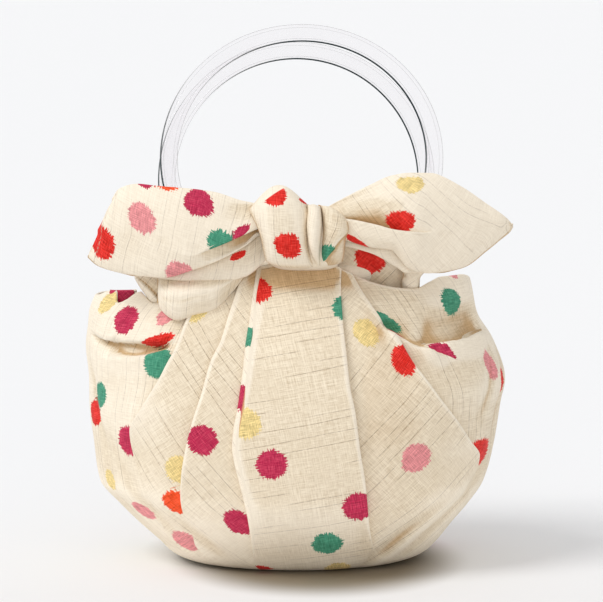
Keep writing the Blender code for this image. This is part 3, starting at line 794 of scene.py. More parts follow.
    def lining(self) -> Sheet:
        """The inside of the pouch, from its floor to just under the turned-in mouth."""
        angle = np.linspace(-180, 180, 121)[:-1]
        rows = []
        for up in (1.8, 1.9, 2.2, 3.0, 4.5):
            rows.append(self.point(angle, np.full_like(angle, up), np.full_like(angle, -self.thick)))
        for share in np.linspace(0, 1, 46)[1:]:
            up = 4.5 + (self.rim_height(angle) - 5.5 - 4.5) * share
            rows.append(self.point(angle, up, self.unevenness(angle, up) - self.thick - 0.9))
        floor = [rows[0] * (size, size, 1.0) for size in (0.02, 0.25, 0.5, 0.75)]
        points = np.array(floor + rows)[:, ::-1]
        outer_side = -flat_sheet(points, Panel.LINING, ring=True).outward
        return flat_sheet(self.tucked(points, outer_side), Panel.LINING, ring=True)


@dataclass(frozen=True)
class Station:
    """A tail at one place from the knot outwards, in (across, up) points and depths.

    top is its upper fold, crease a fold across it with its step, fold the lower edge of its front
    layer, and low the lower edge of the layer behind that. deep is how far back the upper fold lies,
    belly how far the cloth swells forward from it, behind how far it hangs down at the back, and
    ripple how high its small waves are.
    """

    top: tuple[float, float]
    crease: tuple[float, float]
    step: float
    fold: tuple[float, float]
    low: tuple[float, float]
    deep: float
    belly: float
    behind: float
    ripple: float = 0.0


@dataclass(frozen=True)
class Tail:
    """A tail or loop of cloth that turns over its upper fold and bellies out below it.

    sharp are extra places down its section, where its edges turn. side is -1 for a tail that faces back.
    """

    panel: Panel
    stations: tuple[Station, ...]
    along: int = 96
    sharp: tuple[float, ...] = (6.33, 9.3, 16.5)
    hems: bool = True
    side: float = 1.0
    # pale is painted light that makes the whole tail paler
    pale: float = 0.55

    def profile(self, s: Station) -> np.ndarray:
        """The section at one station, from the cloth behind the top fold down to the lowest edge."""
        (tx, tz), (cx, cz), (fx, fz), (lx, lz) = s.top, s.crease, s.fold, s.low
        b = s.belly
        sunk = 0.7 * max(-s.step, 0.0)
        gap = 0.9 - 1.8 * min(abs(s.step), 1.5) / 1.5
        turn_up = min(5.0, 0.5 * (tz - lz))
        lean = (tx - lx) / max(tz - lz, 4.0)
        slope = (cx - fx) / max(cz - fz, 1.0)
        small = min(1.0, (tz - lz) / 14.0)
        rows = [
            (tx, s.deep + 5.0 * small, tz - s.behind),
            (tx, s.deep + 5.0 * small, tz - 0.5 * s.behind),
            (tx, s.deep + 2.6 * small, tz - 1.4 * small),
            (tx, s.deep + 0.2, tz),
            (tx, s.deep - 0.25 * b, tz - 0.08 * (tz - cz)),
            (tx + 0.33 * (cx - tx), s.deep - 0.72 * b, tz + 0.33 * (cz - tz)),
            (tx + 0.7 * (cx - tx), s.deep - b + 0.3 * sunk, tz + 0.7 * (cz - tz)),
            (cx, s.deep - 0.97 * b + sunk, cz + gap),
            (cx, s.deep - 0.97 * b + s.step, cz - gap),
            (cx + 0.5 * (fx - cx), s.deep - 0.85 * b + 0.6 * s.step, cz + 0.5 * (fz - cz)),
            (cx + 0.85 * (fx - cx), s.deep - 0.65 * b, cz + 0.85 * (fz - cz)),
            (fx, s.deep - 0.4 * b, fz),
            (fx + 0.3 * small * slope, s.deep - 0.4 * b + 1.6 * small, fz + 0.3 * small),
            (fx + 3.4 * small * slope, s.deep - 0.3 * b + 2.6 * small, fz + 3.0 * small),
            (fx + 1.2 * small * slope, s.deep - 0.2 * b + 3.4 * small, fz + 1.0 * small),
            (fx + 0.2 * (lx - fx), s.deep - 0.15 * b + 2.8 * small, fz + 0.2 * (lz - fz)),
            (fx + 0.7 * (lx - fx), s.deep - 0.12 * b + 2.6 * small, fz + 0.7 * (lz - fz)),
            (lx, s.deep + 3.0 * small, lz),
            (lx + 0.15 * lean * turn_up, s.deep + 4.6 * small, lz + 0.12 * turn_up),
            (lx + 1.1 * lean * turn_up, s.deep + 5.2 * small, lz + turn_up),
        ]
        return np.array(rows, float)

    def sheet(self) -> Sheet:
        """The tail as a grid."""
        nets = np.array([self.profile(s) for s in self.stations])
        if self.side < 0:
            nets[..., 1] = 2 * np.array([s.deep for s in self.stations])[:, None] - nets[..., 1]
        steps = np.arange(len(self.stations))
        at = np.linspace(0, len(self.stations) - 1, self.along)
        lines = np.stack([
            np.stack([smooth_read(steps, nets[:, k, c], at) for c in range(3)], axis=-1)
            for k in range(nets.shape[1])
        ])
        keys = np.arange(nets.shape[1])
        fine = np.sort(np.concatenate([np.linspace(0, keys[-1], 3 * len(keys)), self.sharp]))
        points = np.stack([
            np.stack([smooth_read(keys, lines[:, j, c], fine) for c in range(3)], axis=-1)
            for j in range(len(at))
        ], axis=1)
        ripple = smooth_read(steps, [s.ripple for s in self.stations], at)
        wave = np.sin(fine[:, None] * 1.55 + 0.8 + 0.02 * points[..., 0])
        front = fade(fine, 3.0, 5.0) * (1 - fade(fine, 10.5, 12.0))
        points[..., 1] += ripple[None, :] * wave * front[:, None]
        points = points[::-1]
        if points[0, -1, 0] < points[0, 0, 0]:
            points = points[:, ::-1]
            ends = self.along - 1 - np.arange(self.along)
        else:
            ends = np.arange(self.along)
        if self.side < 0:
            points = points[:, ::-1]
            ends = ends[::-1]
        sheet = flat_sheet(points, self.panel)
        # painted shade near the knot and in the wedge above a crease, on a tail without hems a painted shadow
        # along its top under the cloth over it, and painted light that pales the tail
        sunk = smooth_read(steps, [fade(-s.step, 1.0, 4.0) for s in self.stations], at)
        shade_in_wedge = np.exp(-(((fine - 6.5) / 1.4) ** 2))[:, None] * sunk[None, :]
        shade_near_knot = (1 - fade(at, 0.8, 3.2))[None, :] * 0.35
        under = 0.0 if self.hems else 0.9 * (1 - fade(fine, 4.2, 6.2))[:, None]
        tone = (shade_near_knot + shade_in_wedge * 1.8 + under - self.pale)[::-1]
        sheet.tone = tone[:, ends]
        if self.hems:
            s = lengths(points, 1)
            tip = s if ends[0] == self.along - 1 else s[:, -1:] - s
            t = lengths(points, 0)
            sheet.hem = np.minimum(tip, np.minimum(t, NO_HEM))
        return sheet


@dataclass(frozen=True)
class Band:
    """A strip of the knot from its top down, as rows of (left, left up, right, right up, front, crown, lift).

    crease is a line across it, below which the cloth lies a step deeper.
    """

    panel: Panel
    rows: tuple[tuple[float, float, float, float, float, float, float], ...]
    across: int = 26
    down: int = 44
    sink: float = 5.0
    back: bool = False
    crease: tuple[tuple[float, float], ...] = ()
    step: float = 1.5
    # tone is painted shade over the whole band
    tone: float = 0.0

    def sheet(self) -> Sheet:
        """The band as a grid with its side edges rolled under."""
        keys = np.arange(len(self.rows))
        at = np.linspace(0, len(self.rows) - 1, self.down)
        left, left_up, right, right_up, front, crown, lift = (
            smooth_read(keys, [row[k] for row in self.rows], at)[:, None] for k in range(7)
        )
        share = np.linspace(0, 1, self.across)[None, :]
        share = 0.5 - 0.5 * np.cos(np.pi * share)
        edge = np.abs(2 * share - 1)
        x = left + (right - left) * share
        z = left_up + (right_up - left_up) * share + lift * np.sin(np.pi * share)
        y = front + self.sink * edge**7 - crown * (1 - edge**2)
        if self.crease:
            line = smooth_read([p[0] for p in self.crease], [p[1] for p in self.crease], x)
            y = y + self.step * fade(line - z, -0.3, 0.7)
        if self.back:
            y = -y
        points = np.stack([x, y, z], axis=-1)[::-1]
        if self.back:
            points = points[:, ::-1]
        sheet = flat_sheet(points, self.panel)
        # painted shade darkens the band's side edges, where it meets its neighbours
        sheet.tone = self.tone + 1.3 * np.broadcast_to(edge**22, points.shape[:2])
        return sheet


@dataclass(frozen=True)
class Lump:
    """The core of a knot at one height: its sides and its front and back faces."""

    up: float
    left: float
    right: float
    front: float
    back: float


@dataclass(frozen=True)
class Core:
    """The closed core of a knot, which its bands wrap."""

    panel: Panel
    lumps: tuple[Lump, ...]
    rows: int = 26
    sides: int = 48

    def sheet(self) -> Sheet:
        """The core as a closed ring of points."""
        ups = [lump.up for lump in self.lumps]
        at = np.linspace(ups[0], ups[-1], self.rows)[:, None]
        left, right, front, back = (
            smooth_read(ups, [getattr(lump, name) for lump in self.lumps], at)
            for name in ("left", "right", "front", "back")
        )
        turn = np.linspace(0, 2 * np.pi, self.sides + 1)[None, :-1]
        x = (left + right) / 2 + (right - left) / 2 * signed_power(np.sin(turn), 0.8)
        y = (front + back) / 2 - np.abs(back - front) / 2 * signed_power(np.cos(turn), 0.8)
        points = np.stack([x, y, at + 0 * x], axis=-1)
        low = shrunk_rings(points[0], (0.05, 0.5, 0.85), -1.5)
        high = shrunk_rings(points[-1], (0.85, 0.5, 0.05), 1.2)
        return flat_sheet(np.concatenate([low, points, high]), self.panel, ring=True)


@dataclass(frozen=True)
class Handle:
    """A clear ring handle: where its middle stands, how its top leans back, and its sizes."""

    name: str
    across: float
    deep: float
    up: float
    lean: float
    reach: float
    outer: float = 160.0
    rod: float = 10.0
    turns: int = 192
    sides: int = 32
    # dark_side is the way the rod's surface faces where its painted shade line is darkest
    dark_side: tuple[float, float, float] = (-0.62, 0.0, -0.79)

    def axes(self) -> tuple[np.ndarray, np.ndarray, np.ndarray]:
        """The ring's middle, its upward direction and its normal."""
        lean = math.radians(self.lean)
        upward = np.array([0.0, math.sin(lean), math.cos(lean)])
        normal = np.array([0.0, -math.cos(lean), math.sin(lean)])
        return np.array([self.across, self.deep, self.up]), upward, normal

    def tube(self, turns: np.ndarray, radii: np.ndarray, sides: int) -> np.ndarray:
        """Rings of points round the ring's own line.

        Args:
            turns: degrees from the ring's lowest point.
            radii: the tube's radius at each.
            sides: how many points go round the tube.

        Returns:
            A grid of points, a row for each turn.
        """
        middle, upward, normal = self.axes()
        side = np.array([1.0, 0.0, 0.0])
        rad = np.radians(turns)[:, None]
        out = side * np.sin(rad) - upward * np.cos(rad)
        line = middle + out * (self.outer - self.rod) / 2
        face = np.linspace(0, 2 * np.pi, sides + 1)[:-1]
        ways = out[:, None, :] * np.cos(face)[None, :, None] + normal * np.sin(face)[None, :, None]
        return line[:, None, :] + ways * radii[:, None, None]

    def sleeve(self) -> Sheet:
        """The cloth wrapped round the ring's lower part."""
        share = np.linspace(-1, 1, 61)
        radii = 10.5 - 1.9 * share**2 + 0.35 * np.sin(share * 13.0)
        points = self.tube(share * self.reach, radii, 28)
        starts, ends = shrunk_rings(points[0], (0.04, 0.62)), shrunk_rings(points[-1], (0.62, 0.04))
        points = np.concatenate([starts, points, ends])
        return flat_sheet(points[:, ::-1], Panel.SLEEVE, ring=True)

    def make(self, finish: bpy.types.Material) -> bpy.types.Object:
        """The ring itself, in clear acrylic."""
        turns = np.linspace(0, 360, self.turns + 1)[:-1]
        grid = self.tube(turns, np.full(self.turns, self.rod / 2), self.sides)
        points = grid.reshape(-1, 3) * MM
        faces = []
        for i in range(self.turns):
            for j in range(self.sides):
                k, m = (i + 1) % self.turns, (j + 1) % self.sides
                faces.append((i * self.sides + j, i * self.sides + m, k * self.sides + m, k * self.sides + j))
        mesh = bpy.data.meshes.new(self.name + "_clear")
        mesh.from_pydata(points.tolist(), [], faces)
        mesh.shade_smooth()
        mesh.materials.append(finish)
        # how far each point faces the dark side, which sets the painted shade line
        line = grid.mean(axis=1, keepdims=True)
        ways = ((grid - line) / (self.rod / 2)).reshape(-1, 3)
        shaded = 0.5 + 0.5 * ways @ np.array(self.dark_side)
        mesh.attributes.new("shaded", "FLOAT", "POINT").data.foreach_set("value", shaded)
        ring = bpy.data.objects.new(self.name + "_clear", mesh)
        bpy.context.scene.collection.objects.link(ring)
        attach(ring, "root")
        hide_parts(self.name)
        return ring


# the panels whose dots all show in the photograph, or that have none
PLAIN_PANELS = (
    Panel.LOOP, Panel.KNOT_WIDE, Panel.KNOT_NARROW, Panel.KNOT_RIGHT, Panel.KNOT_CORE, Panel.GUSSET,
    Panel.SLEEVE, Panel.LEFT_TAIL, Panel.RIGHT_TAIL, Panel.SIDE_BAND,
)


@dataclass
class ClothMesh:
    """All the sheets of the one cloth, gathered into one mesh with its weave and its dots.

    spacing is the pitch of the dots that the photograph doesn't show, stray how far one may lie from
    the nearest point of its sheet, and turned_away and behind say which places it doesn't show.
    """

    sheets: list[Sheet] = field(default_factory=list)
    spacing: float = 36.0
    jog: float = 7.0
    stray: float = 5.0
    turned_away: float = -0.2
    behind: float = 8.0

    def add(self, sheet: Sheet, thick: float | None = None) -> None:
        """Takes one more sheet into the cloth, with another thickness than its own if one is given."""
        if thick is not None:
            sheet.thick = thick
        self.sheets.append(sheet)

    def lattice(self, sheet: Sheet, panel: Panel, thread: np.ndarray) -> list[tuple[np.ndarray, Dye]]:
        """The dots of a panel that the photograph doesn't show, on the cloth's own staggered grid.

        Args:
            sheet: the sheet with the panel.
            panel: the panel.
            thread: the sheet's places in the weave.

        Returns:
            The dots' middles in the weave, with their dyes.
        """
        if panel in PLAIN_PANELS:
            return []
        chosen = sheet.panel == panel.value
        places = thread[chosen]
        back = sheet.points[chosen][:, 1]
        facing = sheet.outward[chosen] @ -EYE.axes()[0]
        charted = any(dot.panel == panel for dot in DOTS)
        low, high = places.min(axis=0), places.max(axis=0)
        found, dyes = [], list(Dye)
        for row in range(int((high[1] - low[1]) / self.spacing) + 2):
            for step in range(int((high[0] - low[0]) / self.spacing) + 2):
                jog = self.jog * math.sin(1.7 * row + 2.9 * step + panel.value)
                place = low + self.spacing * np.array([step + 0.5 * (row % 2) + 0.15, row + 0.3])
                place = place + (jog, -0.6 * jog)
                away = np.linalg.norm(places - place, axis=1)
                near = int(np.argmin(away))
                seen = charted and (facing[near] > self.turned_away or back[near] < self.behind)
                if away[near] > self.stray or seen:
                    continue
                found.append((place, dyes[(2 * row + 3 * step + panel.value) % len(dyes)]))
        return found

    def dots_of(self, sheet: Sheet, thread: np.ndarray) -> tuple[np.ndarray, ...]:
        """Which dot each point of a sheet is nearest to.

        Args:
            sheet: the sheet.
            thread: its places in the weave.

        Returns:
            The reach from the dot's middle in radii, the place in the dot, the dot's colour, and
            how far inside the fold that hides a part of it.
        """
        seen = EYE.seen(sheet.points)
        facing = sheet.outward @ -EYE.axes()[0]
        reach = np.full(sheet.panel.shape, 9.0)
        shown = np.full(sheet.panel.shape, 9.0)
        place = np.full(sheet.panel.shape + (2,), 9.0)
        colour = np.tile(np.array(Dye.RED.value), sheet.panel.shape + (1,))
        for panel in Panel:
            chosen = sheet.panel == panel.value
            if not chosen.any():
                continue
            slant = math.radians(SLUB_SLANT[panel])
            middles = [
                (at, Dot(panel, dye, 0.0, 0.0)) for at, dye in self.lattice(sheet, panel, thread)
            ]
            for dot in (dot for dot in DOTS if dot.panel == panel):
                off = np.array([dot.across, dot.up]) - seen
                away = np.where(chosen & (facing > 0.1), np.linalg.norm(off, axis=2), 1e6)
                deep = np.where(away < away.min() + 2.0, sheet.points[..., 1], 1e6)
                near = np.unravel_index(np.argmin(deep), away.shape)
                middles.append((thread[near] + turned(*off[near], slant), dot))
            for middle, dot in middles:
                own = (thread - middle) / dot.radius
                way = math.radians(dot.squash[0]) - slant
                narrow = np.array([math.cos(way), math.sin(way)])
                own = own + (own @ narrow)[..., None] * narrow * (1 / dot.squash[1] - 1)
                size = np.linalg.norm(own, axis=2)
                side = NO_DOT + 0 * size
                if dot.cut:
                    way = math.radians(dot.cut[0]) - slant
                    side = own[..., 0] * math.cos(way) + own[..., 1] * math.sin(way) + dot.cut[1]
                closer = chosen & (size < reach)
                reach[closer], place[closer], colour[closer] = size[closer], own[closer], dot.dye.value
                shown[closer] = side[closer]
        return reach, place, colour, shown

    @staticmethod
    def grid_faces(rows: int, columns: int, start: int, ring: bool, back: bool) -> np.ndarray:
        """The quads of a grid whose first point has the number start."""
        r, c = np.meshgrid(np.arange(rows - 1), np.arange(columns if ring else columns - 1), indexing="ij")
        d = (c + 1) % columns
        low, high = r * columns + start, (r + 1) * columns + start
        quads = np.stack([low + c, low + d, high + d, high + c], axis=-1).reshape(-1, 4)
        return quads[:, ::-1] if back else quads

    def border(self, sheet: Sheet) -> list[np.ndarray]:
        """The grid's open edges, as lines of point numbers with the outer face on the same side."""
        rows, columns = sheet.points.shape[:2]
        numbers = np.arange(rows * columns).reshape(rows, columns)
        if sheet.ring:
            return [np.append(numbers[0], numbers[0, 0]), np.append(numbers[-1], numbers[-1, 0])[::-1]]
        return [np.concatenate([numbers[0, :-1], numbers[:-1, -1], numbers[-1, :0:-1], numbers[::-1, 0]])]

    def make(self, name: str, finish: bpy.types.Material) -> bpy.types.Object:
        """The whole cloth as one object.

        Args:
            name: the object's name.
            finish: its material.

        Returns:
            The object, with each sheet's two faces and its rounded edges.
        """
        points, faces, thread, place = [], [], [], []
        reach, colour, hem, shown, painted_shading = [], [], [], [], []
        start = 0

        def keep(where: np.ndarray, values: tuple[np.ndarray, ...]) -> None:
            """Adds points with their weave, dot and hem values."""
            points.append(where)
            for store, value in zip((thread, place, reach, colour, hem, shown, painted_shading), values):
                store.append(value)

        for sheet in self.sheets:
            rows, columns = sheet.points.shape[:2]
            count = rows * columns
            own = sheet.thread()
            dots = self.dots_of(sheet, own)
            values = [own.reshape(-1, 2), dots[1].reshape(-1, 2), dots[0].ravel(), dots[2].reshape(-1, 3)]
            values.extend([sheet.hem.ravel(), dots[3].ravel(), sheet.painted_shading().ravel()])
            flat, out = sheet.points.reshape(-1, 3), sheet.outward.reshape(-1, 3)
            keep(flat, tuple(values))
            faces.append(self.grid_faces(rows, columns, start, sheet.ring, False))
            if sheet.thick <= 0:
                start += count
                continue
            keep(flat - out * sheet.thick, tuple(values))
            inner = start + count
            faces.append(self.grid_faces(rows, columns, inner, sheet.ring, True))
            edge_start = inner + count
            for line in self.border(sheet):
                middle = flat[line] - out[line] * sheet.thick / 2
                ahead = np.roll(flat[line], -1, axis=0) - np.roll(flat[line], 1, axis=0)
                away = np.cross(ahead, out[line])
                away /= np.maximum(np.linalg.norm(away, axis=1, keepdims=True), 1e-9)
                keep(middle + away * sheet.thick * 0.4, tuple(value[line] for value in values))
                n = len(line)
                here = edge_start + np.arange(n - 1)
                faces.append(np.stack([start + line[1:], start + line[:-1], here, here + 1], axis=-1))
                faces.append(np.stack([here + 1, here, inner + line[:-1], inner + line[1:]], axis=-1))
                edge_start += n
            start = edge_start
        mesh = bpy.data.meshes.new(name)
        mesh.from_pydata((np.concatenate(points) * MM).tolist(), [], np.concatenate(faces).tolist())
        total = len(mesh.vertices)
        flat_zero = np.zeros((total, 1))
        vectors = {"thread": np.concatenate(thread), "dot_place": np.concatenate(place)}
        for title, value in vectors.items():
            data = mesh.attributes.new(title, "FLOAT_VECTOR", "POINT").data
            data.foreach_set("vector", np.concatenate([value, flat_zero], axis=1).ravel())
        for title, value in {"dot_reach": reach, "hem": hem, "dot_shown": shown, "painted_shading": painted_shading}.items():
            mesh.attributes.new(title, "FLOAT", "POINT").data.foreach_set("value", np.concatenate(value))
        tint = np.concatenate([np.concatenate(colour), flat_zero + 1.0], axis=1)
        mesh.attributes.new("dot_colour", "FLOAT_COLOR", "POINT").data.foreach_set("color", tint.ravel())
        mesh.shade_smooth()
        mesh.materials.append(finish)
        mesh.validate()
        thing = bpy.data.objects.new(name, mesh)
        bpy.context.scene.collection.objects.link(thing)
        return thing


class Num:
    """A number socket that takes Python's own signs and adds a Math node for each."""

    def __init__(self, graph: "Graph", socket: bpy.types.NodeSocket) -> None:
        """Keeps the socket and the graph that it belongs to."""
        self.graph, self.socket = graph, socket

    def math(self, operation: str, *others: "Num | float") -> "Num":
        """A Math node of this number and others."""
        return self.graph.math(operation, self, *others)

    def __add__(self, other: "Num | float") -> "Num":
        """The sum."""
        return self.math("ADD", other)

    __radd__ = __add__

    def __mul__(self, other: "Num | float") -> "Num":
        """The product."""
        return self.math("MULTIPLY", other)

    __rmul__ = __mul__

    def __sub__(self, other: "Num | float") -> "Num":
        """The difference."""
        return self.math("SUBTRACT", other)

    def __rsub__(self, other: "Num | float") -> "Num":
        """The difference, from a number on the left."""
        return self.graph.math("SUBTRACT", other, self)

    def __truediv__(self, other: "Num | float") -> "Num":
        """The quotient."""
        return self.math("DIVIDE", other)

    def __pow__(self, other: float) -> "Num":
        """The power."""
        return self.math("POWER", other)

    def step(self, low: float, high: float) -> "Num":
        """0 at low and 1 at high, softly between them. low may be the greater one."""
        node = self.graph.node(
            "ShaderNodeMapRange",
            {"interpolation_type": "SMOOTHSTEP"},
            {"Value": self, "From Min": low, "From Max": high},
        )
        return Num(self.graph, node.outputs["Result"])


Value = Num | bpy.types.NodeSocket | float | tuple


@dataclass
class Graph:
    """The nodes of one material, and the ways to add to them."""

    material: bpy.types.Material

    @classmethod
    def new(cls, name: str) -> "Graph":
        """A new material with an empty graph."""
        material = bpy.data.materials.new(name)
        material.use_nodes = True
        material.node_tree.nodes.clear()
        return cls(material)

    def node(self, kind: str, settings: dict | None = None, values: dict | None = None) -> bpy.types.Node:
        """Adds one node.

        Args:
            kind: the node's type.
            settings: its own settings, set first.
            values: for each socket, by name or number, its value or what is linked to it.

        Returns:
            The node.
        """
        node = self.material.node_tree.nodes.new(kind)
        for name, value in (settings or {}).items():
            setattr(node, name, value)
        for name, value in (values or {}).items():
            value = value.socket if isinstance(value, Num) else value
            if isinstance(value, bpy.types.NodeSocket):
                self.material.node_tree.links.new(value, node.inputs[name])
            else:
                node.inputs[name].default_value = value
        return node

    def math(self, operation: str, *numbers: Num | float) -> Num:
        """A Math node of up to three numbers."""
        node = self.node("ShaderNodeMath", {"operation": operation}, dict(enumerate(numbers)))
        return Num(self, node.outputs[0])

    def mix(self, low: Value, high: Value, share: Num | float) -> bpy.types.NodeSocket:
        """A colour between two, by a share."""
        node = self.node("ShaderNodeMix", {"data_type": "RGBA"}, {0: share, 6: low, 7: high})
        return node.outputs[2]

    def multiply(self, colour: Value, other: Value, share: Num | float = 1.0) -> bpy.types.NodeSocket:
        """A colour multiplied by another."""
        settings = {"data_type": "RGBA", "blend_type": "MULTIPLY"}
        return self.node("ShaderNodeMix", settings, {0: share, 6: colour, 7: other}).outputs[2]

    def attribute(self, name: str, output: str) -> bpy.types.NodeSocket:
        """A value that the mesh carries."""
        return self.node("ShaderNodeAttribute", {"attribute_name": name}).outputs[output]

    def split(self, vector: bpy.types.NodeSocket) -> tuple[Num, Num]:
        """The first two numbers of a vector."""
        node = self.node("ShaderNodeSeparateXYZ", None, {0: vector})
        return Num(self, node.outputs[0]), Num(self, node.outputs[1])

    def noise(self, x: Num | float, y: Num | float, detail: float = 1.0) -> Num:
        """Soft noise from about 0.2 to 0.8 over two numbers, one unit to a wave."""
        place = self.node("ShaderNodeCombineXYZ", None, {0: x, 1: y})
        node = self.node(
            "ShaderNodeTexNoise",
            {"noise_dimensions": "2D"},
            {"Vector": place.outputs[0], "Scale": 1.0, "Detail": detail},
        )
        return Num(self, node.outputs["Fac"])

    def finish(self, shader: bpy.types.NodeSocket) -> bpy.types.Material:
        """Links the shader to the material's output."""
        self.node("ShaderNodeOutputMaterial", None, {"Surface": shader})
        return self.material


@dataclass(frozen=True)
class LinenFinish:
    """Cream slub linen with dark slub dashes, light threads both ways, and ragged woven dots, with painted
    shade in its folds, painted highlight on its crests and painted bounce light near the floor.
    """

    light: tuple[float, float, float, float] = (0.865, 0.760, 0.595, 1.0)
    dark: tuple[float, float, float, float] = (0.60, 0.485, 0.335, 1.0)
    slub: tuple[float, float, float, float] = (0.36, 0.27, 0.18, 1.0)
    # crease tints the painted shade in creases, on the cloth and on the dots there; crest is the painted
    # highlight on crests
    crease: tuple[float, float, float, float] = (0.70, 0.52, 0.32, 1.0)
    crest: tuple[float, float, float, float] = (0.97, 0.90, 0.78, 1.0)
    # foot is painted bounce light from the floor, which pales the cloth near the foot
    foot: tuple[float, float, float, float] = (1.16, 1.165, 1.17, 1.0)
    stitch: tuple[float, float, float, float] = (0.50, 0.42, 0.31, 1.0)
    dot_light: tuple[float, float, float, float] = (1.0, 0.93, 0.84, 1.0)
    slub_spacing: float = 5.8
    slub_width: float = 0.17
    ragged: float = 0.27
    hem_width: float = 4.2

    def make(self) -> bpy.types.Material:
        """The material."""
        g = Graph.new("slub_linen")
        along, over = g.split(g.attribute("thread", "Vector"))
        weft = g.noise(along * 0.045, over * 1.45, 2.0)
        warp = g.noise(along * 1.45, over * 0.045 + 40.0, 2.0)
        fine_weft = g.noise(along * 0.20, over * 3.2 + 9.0, 0.0)
        fine_warp = g.noise(along * 3.2, over * 0.20 + 21.0, 0.0)
        cloud = g.noise(along * 0.03 + 7.0, over * 0.03, 2.0)
        bright = weft.step(0.55, 0.70) * 0.6 + warp.step(0.55, 0.70) * 0.6
        shade = weft.step(0.47, 0.32) * 0.5 + warp.step(0.47, 0.32) * 0.45
        patch = cloud.step(0.35, 0.65)
        grain = ((fine_weft - 0.5) + (fine_warp - 0.5)) * 0.75
        weave = (bright * 0.42 - shade * 0.42) * (0.45 + patch * 0.75)
        tone = (0.62 + weave + grain + (cloud - 0.5) * 0.25).math("MAXIMUM", 0.0)
        cloth = g.mix(self.dark, self.light, tone.math("MINIMUM", 1.15))

        row = over / self.slub_spacing
        cell = row.math("FLOOR")
        jog = g.noise(cell * 3.7, 0.5, 0.0)
        drift = g.noise(along * 0.03, cell * 5.3, 0.0)
        off = (row - cell - 0.15 - jog * 0.7) * self.slub_spacing + (drift - 0.5) * 1.2
        line = off.math("ABSOLUTE").step(self.slub_width * 1.8, self.slub_width * 0.5)
        long = g.noise(along * 0.016, cell * 9.1, 0.0).step(0.44, 0.52)
        broken = 0.45 + g.noise(along * 0.45, cell * 4.3, 1.0).step(0.36, 0.58) * 0.55
        cloth = g.mix(cloth, self.slub, line * long * broken * 0.85)

        # painted shade tans the cloth in creases and painted highlight pales it on crests
        painted_shading = Num(g, g.attribute("painted_shading", "Fac"))
        cloth = g.multiply(cloth, self.crease, painted_shading.step(0.05, 0.95) * 0.85)
        cloth = g.mix(cloth, self.crest, painted_shading.step(-0.10, -0.80) * 0.45)

        dot_across, dot_over = g.split(g.attribute("dot_place", "Vector"))
        fray = (g.noise(over * 1.30, along * 0.10, 2.0) - 0.5) * self.ragged * 2.2
        fray_over = (g.noise(along * 1.30, over * 0.10 + 30.0, 2.0) - 0.5) * self.ragged * 2.2
        a = dot_across + fray * dot_across.math("SIGN") * -1.0
        b = dot_over + fray_over * dot_over.math("SIGN") * -1.0
        radius = (a * a + b * b).math("SQRT")
        near = Num(g, g.attribute("dot_reach", "Fac")).step(1.19, 1.14)
        shown = Num(g, g.attribute("dot_shown", "Fac")).step(-0.03, 0.03)
        mask = radius.step(1.00, 0.94) * near * shown
        threads = fine_weft.step(0.50, 0.66) * 0.5 + fine_warp.step(0.50, 0.66) * 0.5
        dye = g.mix(g.attribute("dot_colour", "Color"), self.dot_light, threads * 0.045)
        depth = (0.90 + weave * 0.45 + grain * 0.75).math("MAXIMUM", 0.45)
        shaded = g.node("ShaderNodeCombineXYZ", None, {0: depth, 1: depth, 2: depth}).outputs[0]
        dye = g.multiply(dye, shaded)
        # painted shade darkens the dots in creases too
        dye = g.multiply(dye, self.crease, painted_shading.step(0.15, 0.95) * 0.6)
        colour = g.mix(cloth, dye, mask * 0.992)

        # painted bounce light from the floor brightens the cloth near the foot
        place = g.node("ShaderNodeNewGeometry").outputs["Position"]
        height_up = Num(g, g.node("ShaderNodeSeparateXYZ", None, {0: place}).outputs[2])
        colour = g.multiply(colour, self.foot, height_up.step(0.085, 0.015) * 0.8)
        hem = Num(g, g.attribute("hem", "Fac"))
        seam = (hem - self.hem_width).math("ABSOLUTE").step(0.65, 0.2)
        stitched = g.noise(along * 0.9, over * 0.9, 0.0).step(0.45, 0.55)
        colour = g.mix(colour, self.stitch, seam * stitched * 0.55)
        fold = hem.step(4.6, 3.8)

        soft = g.noise(along * 0.07, over * 0.07 + 3.0, 1.0)
        height = (weft + warp) * 0.5 + (fine_weft + fine_warp) * 0.35 + fold * 0.9 - seam * 0.8 + soft * 3.5
        bump = g.node("ShaderNodeBump", None, {"Strength": 0.35, "Distance": 0.0004, "Height": height})
        shader = g.node("ShaderNodeBsdfPrincipled", None, {
            "Base Color": colour,
            "Roughness": 0.86 - bright * 0.06,
            "Normal": bump.outputs[0],
            "Specular IOR Level": 0.18,
            "Sheen Weight": 0.06,
            "Sheen Roughness": 0.5,
        })
        return g.finish(shader.outputs[0])


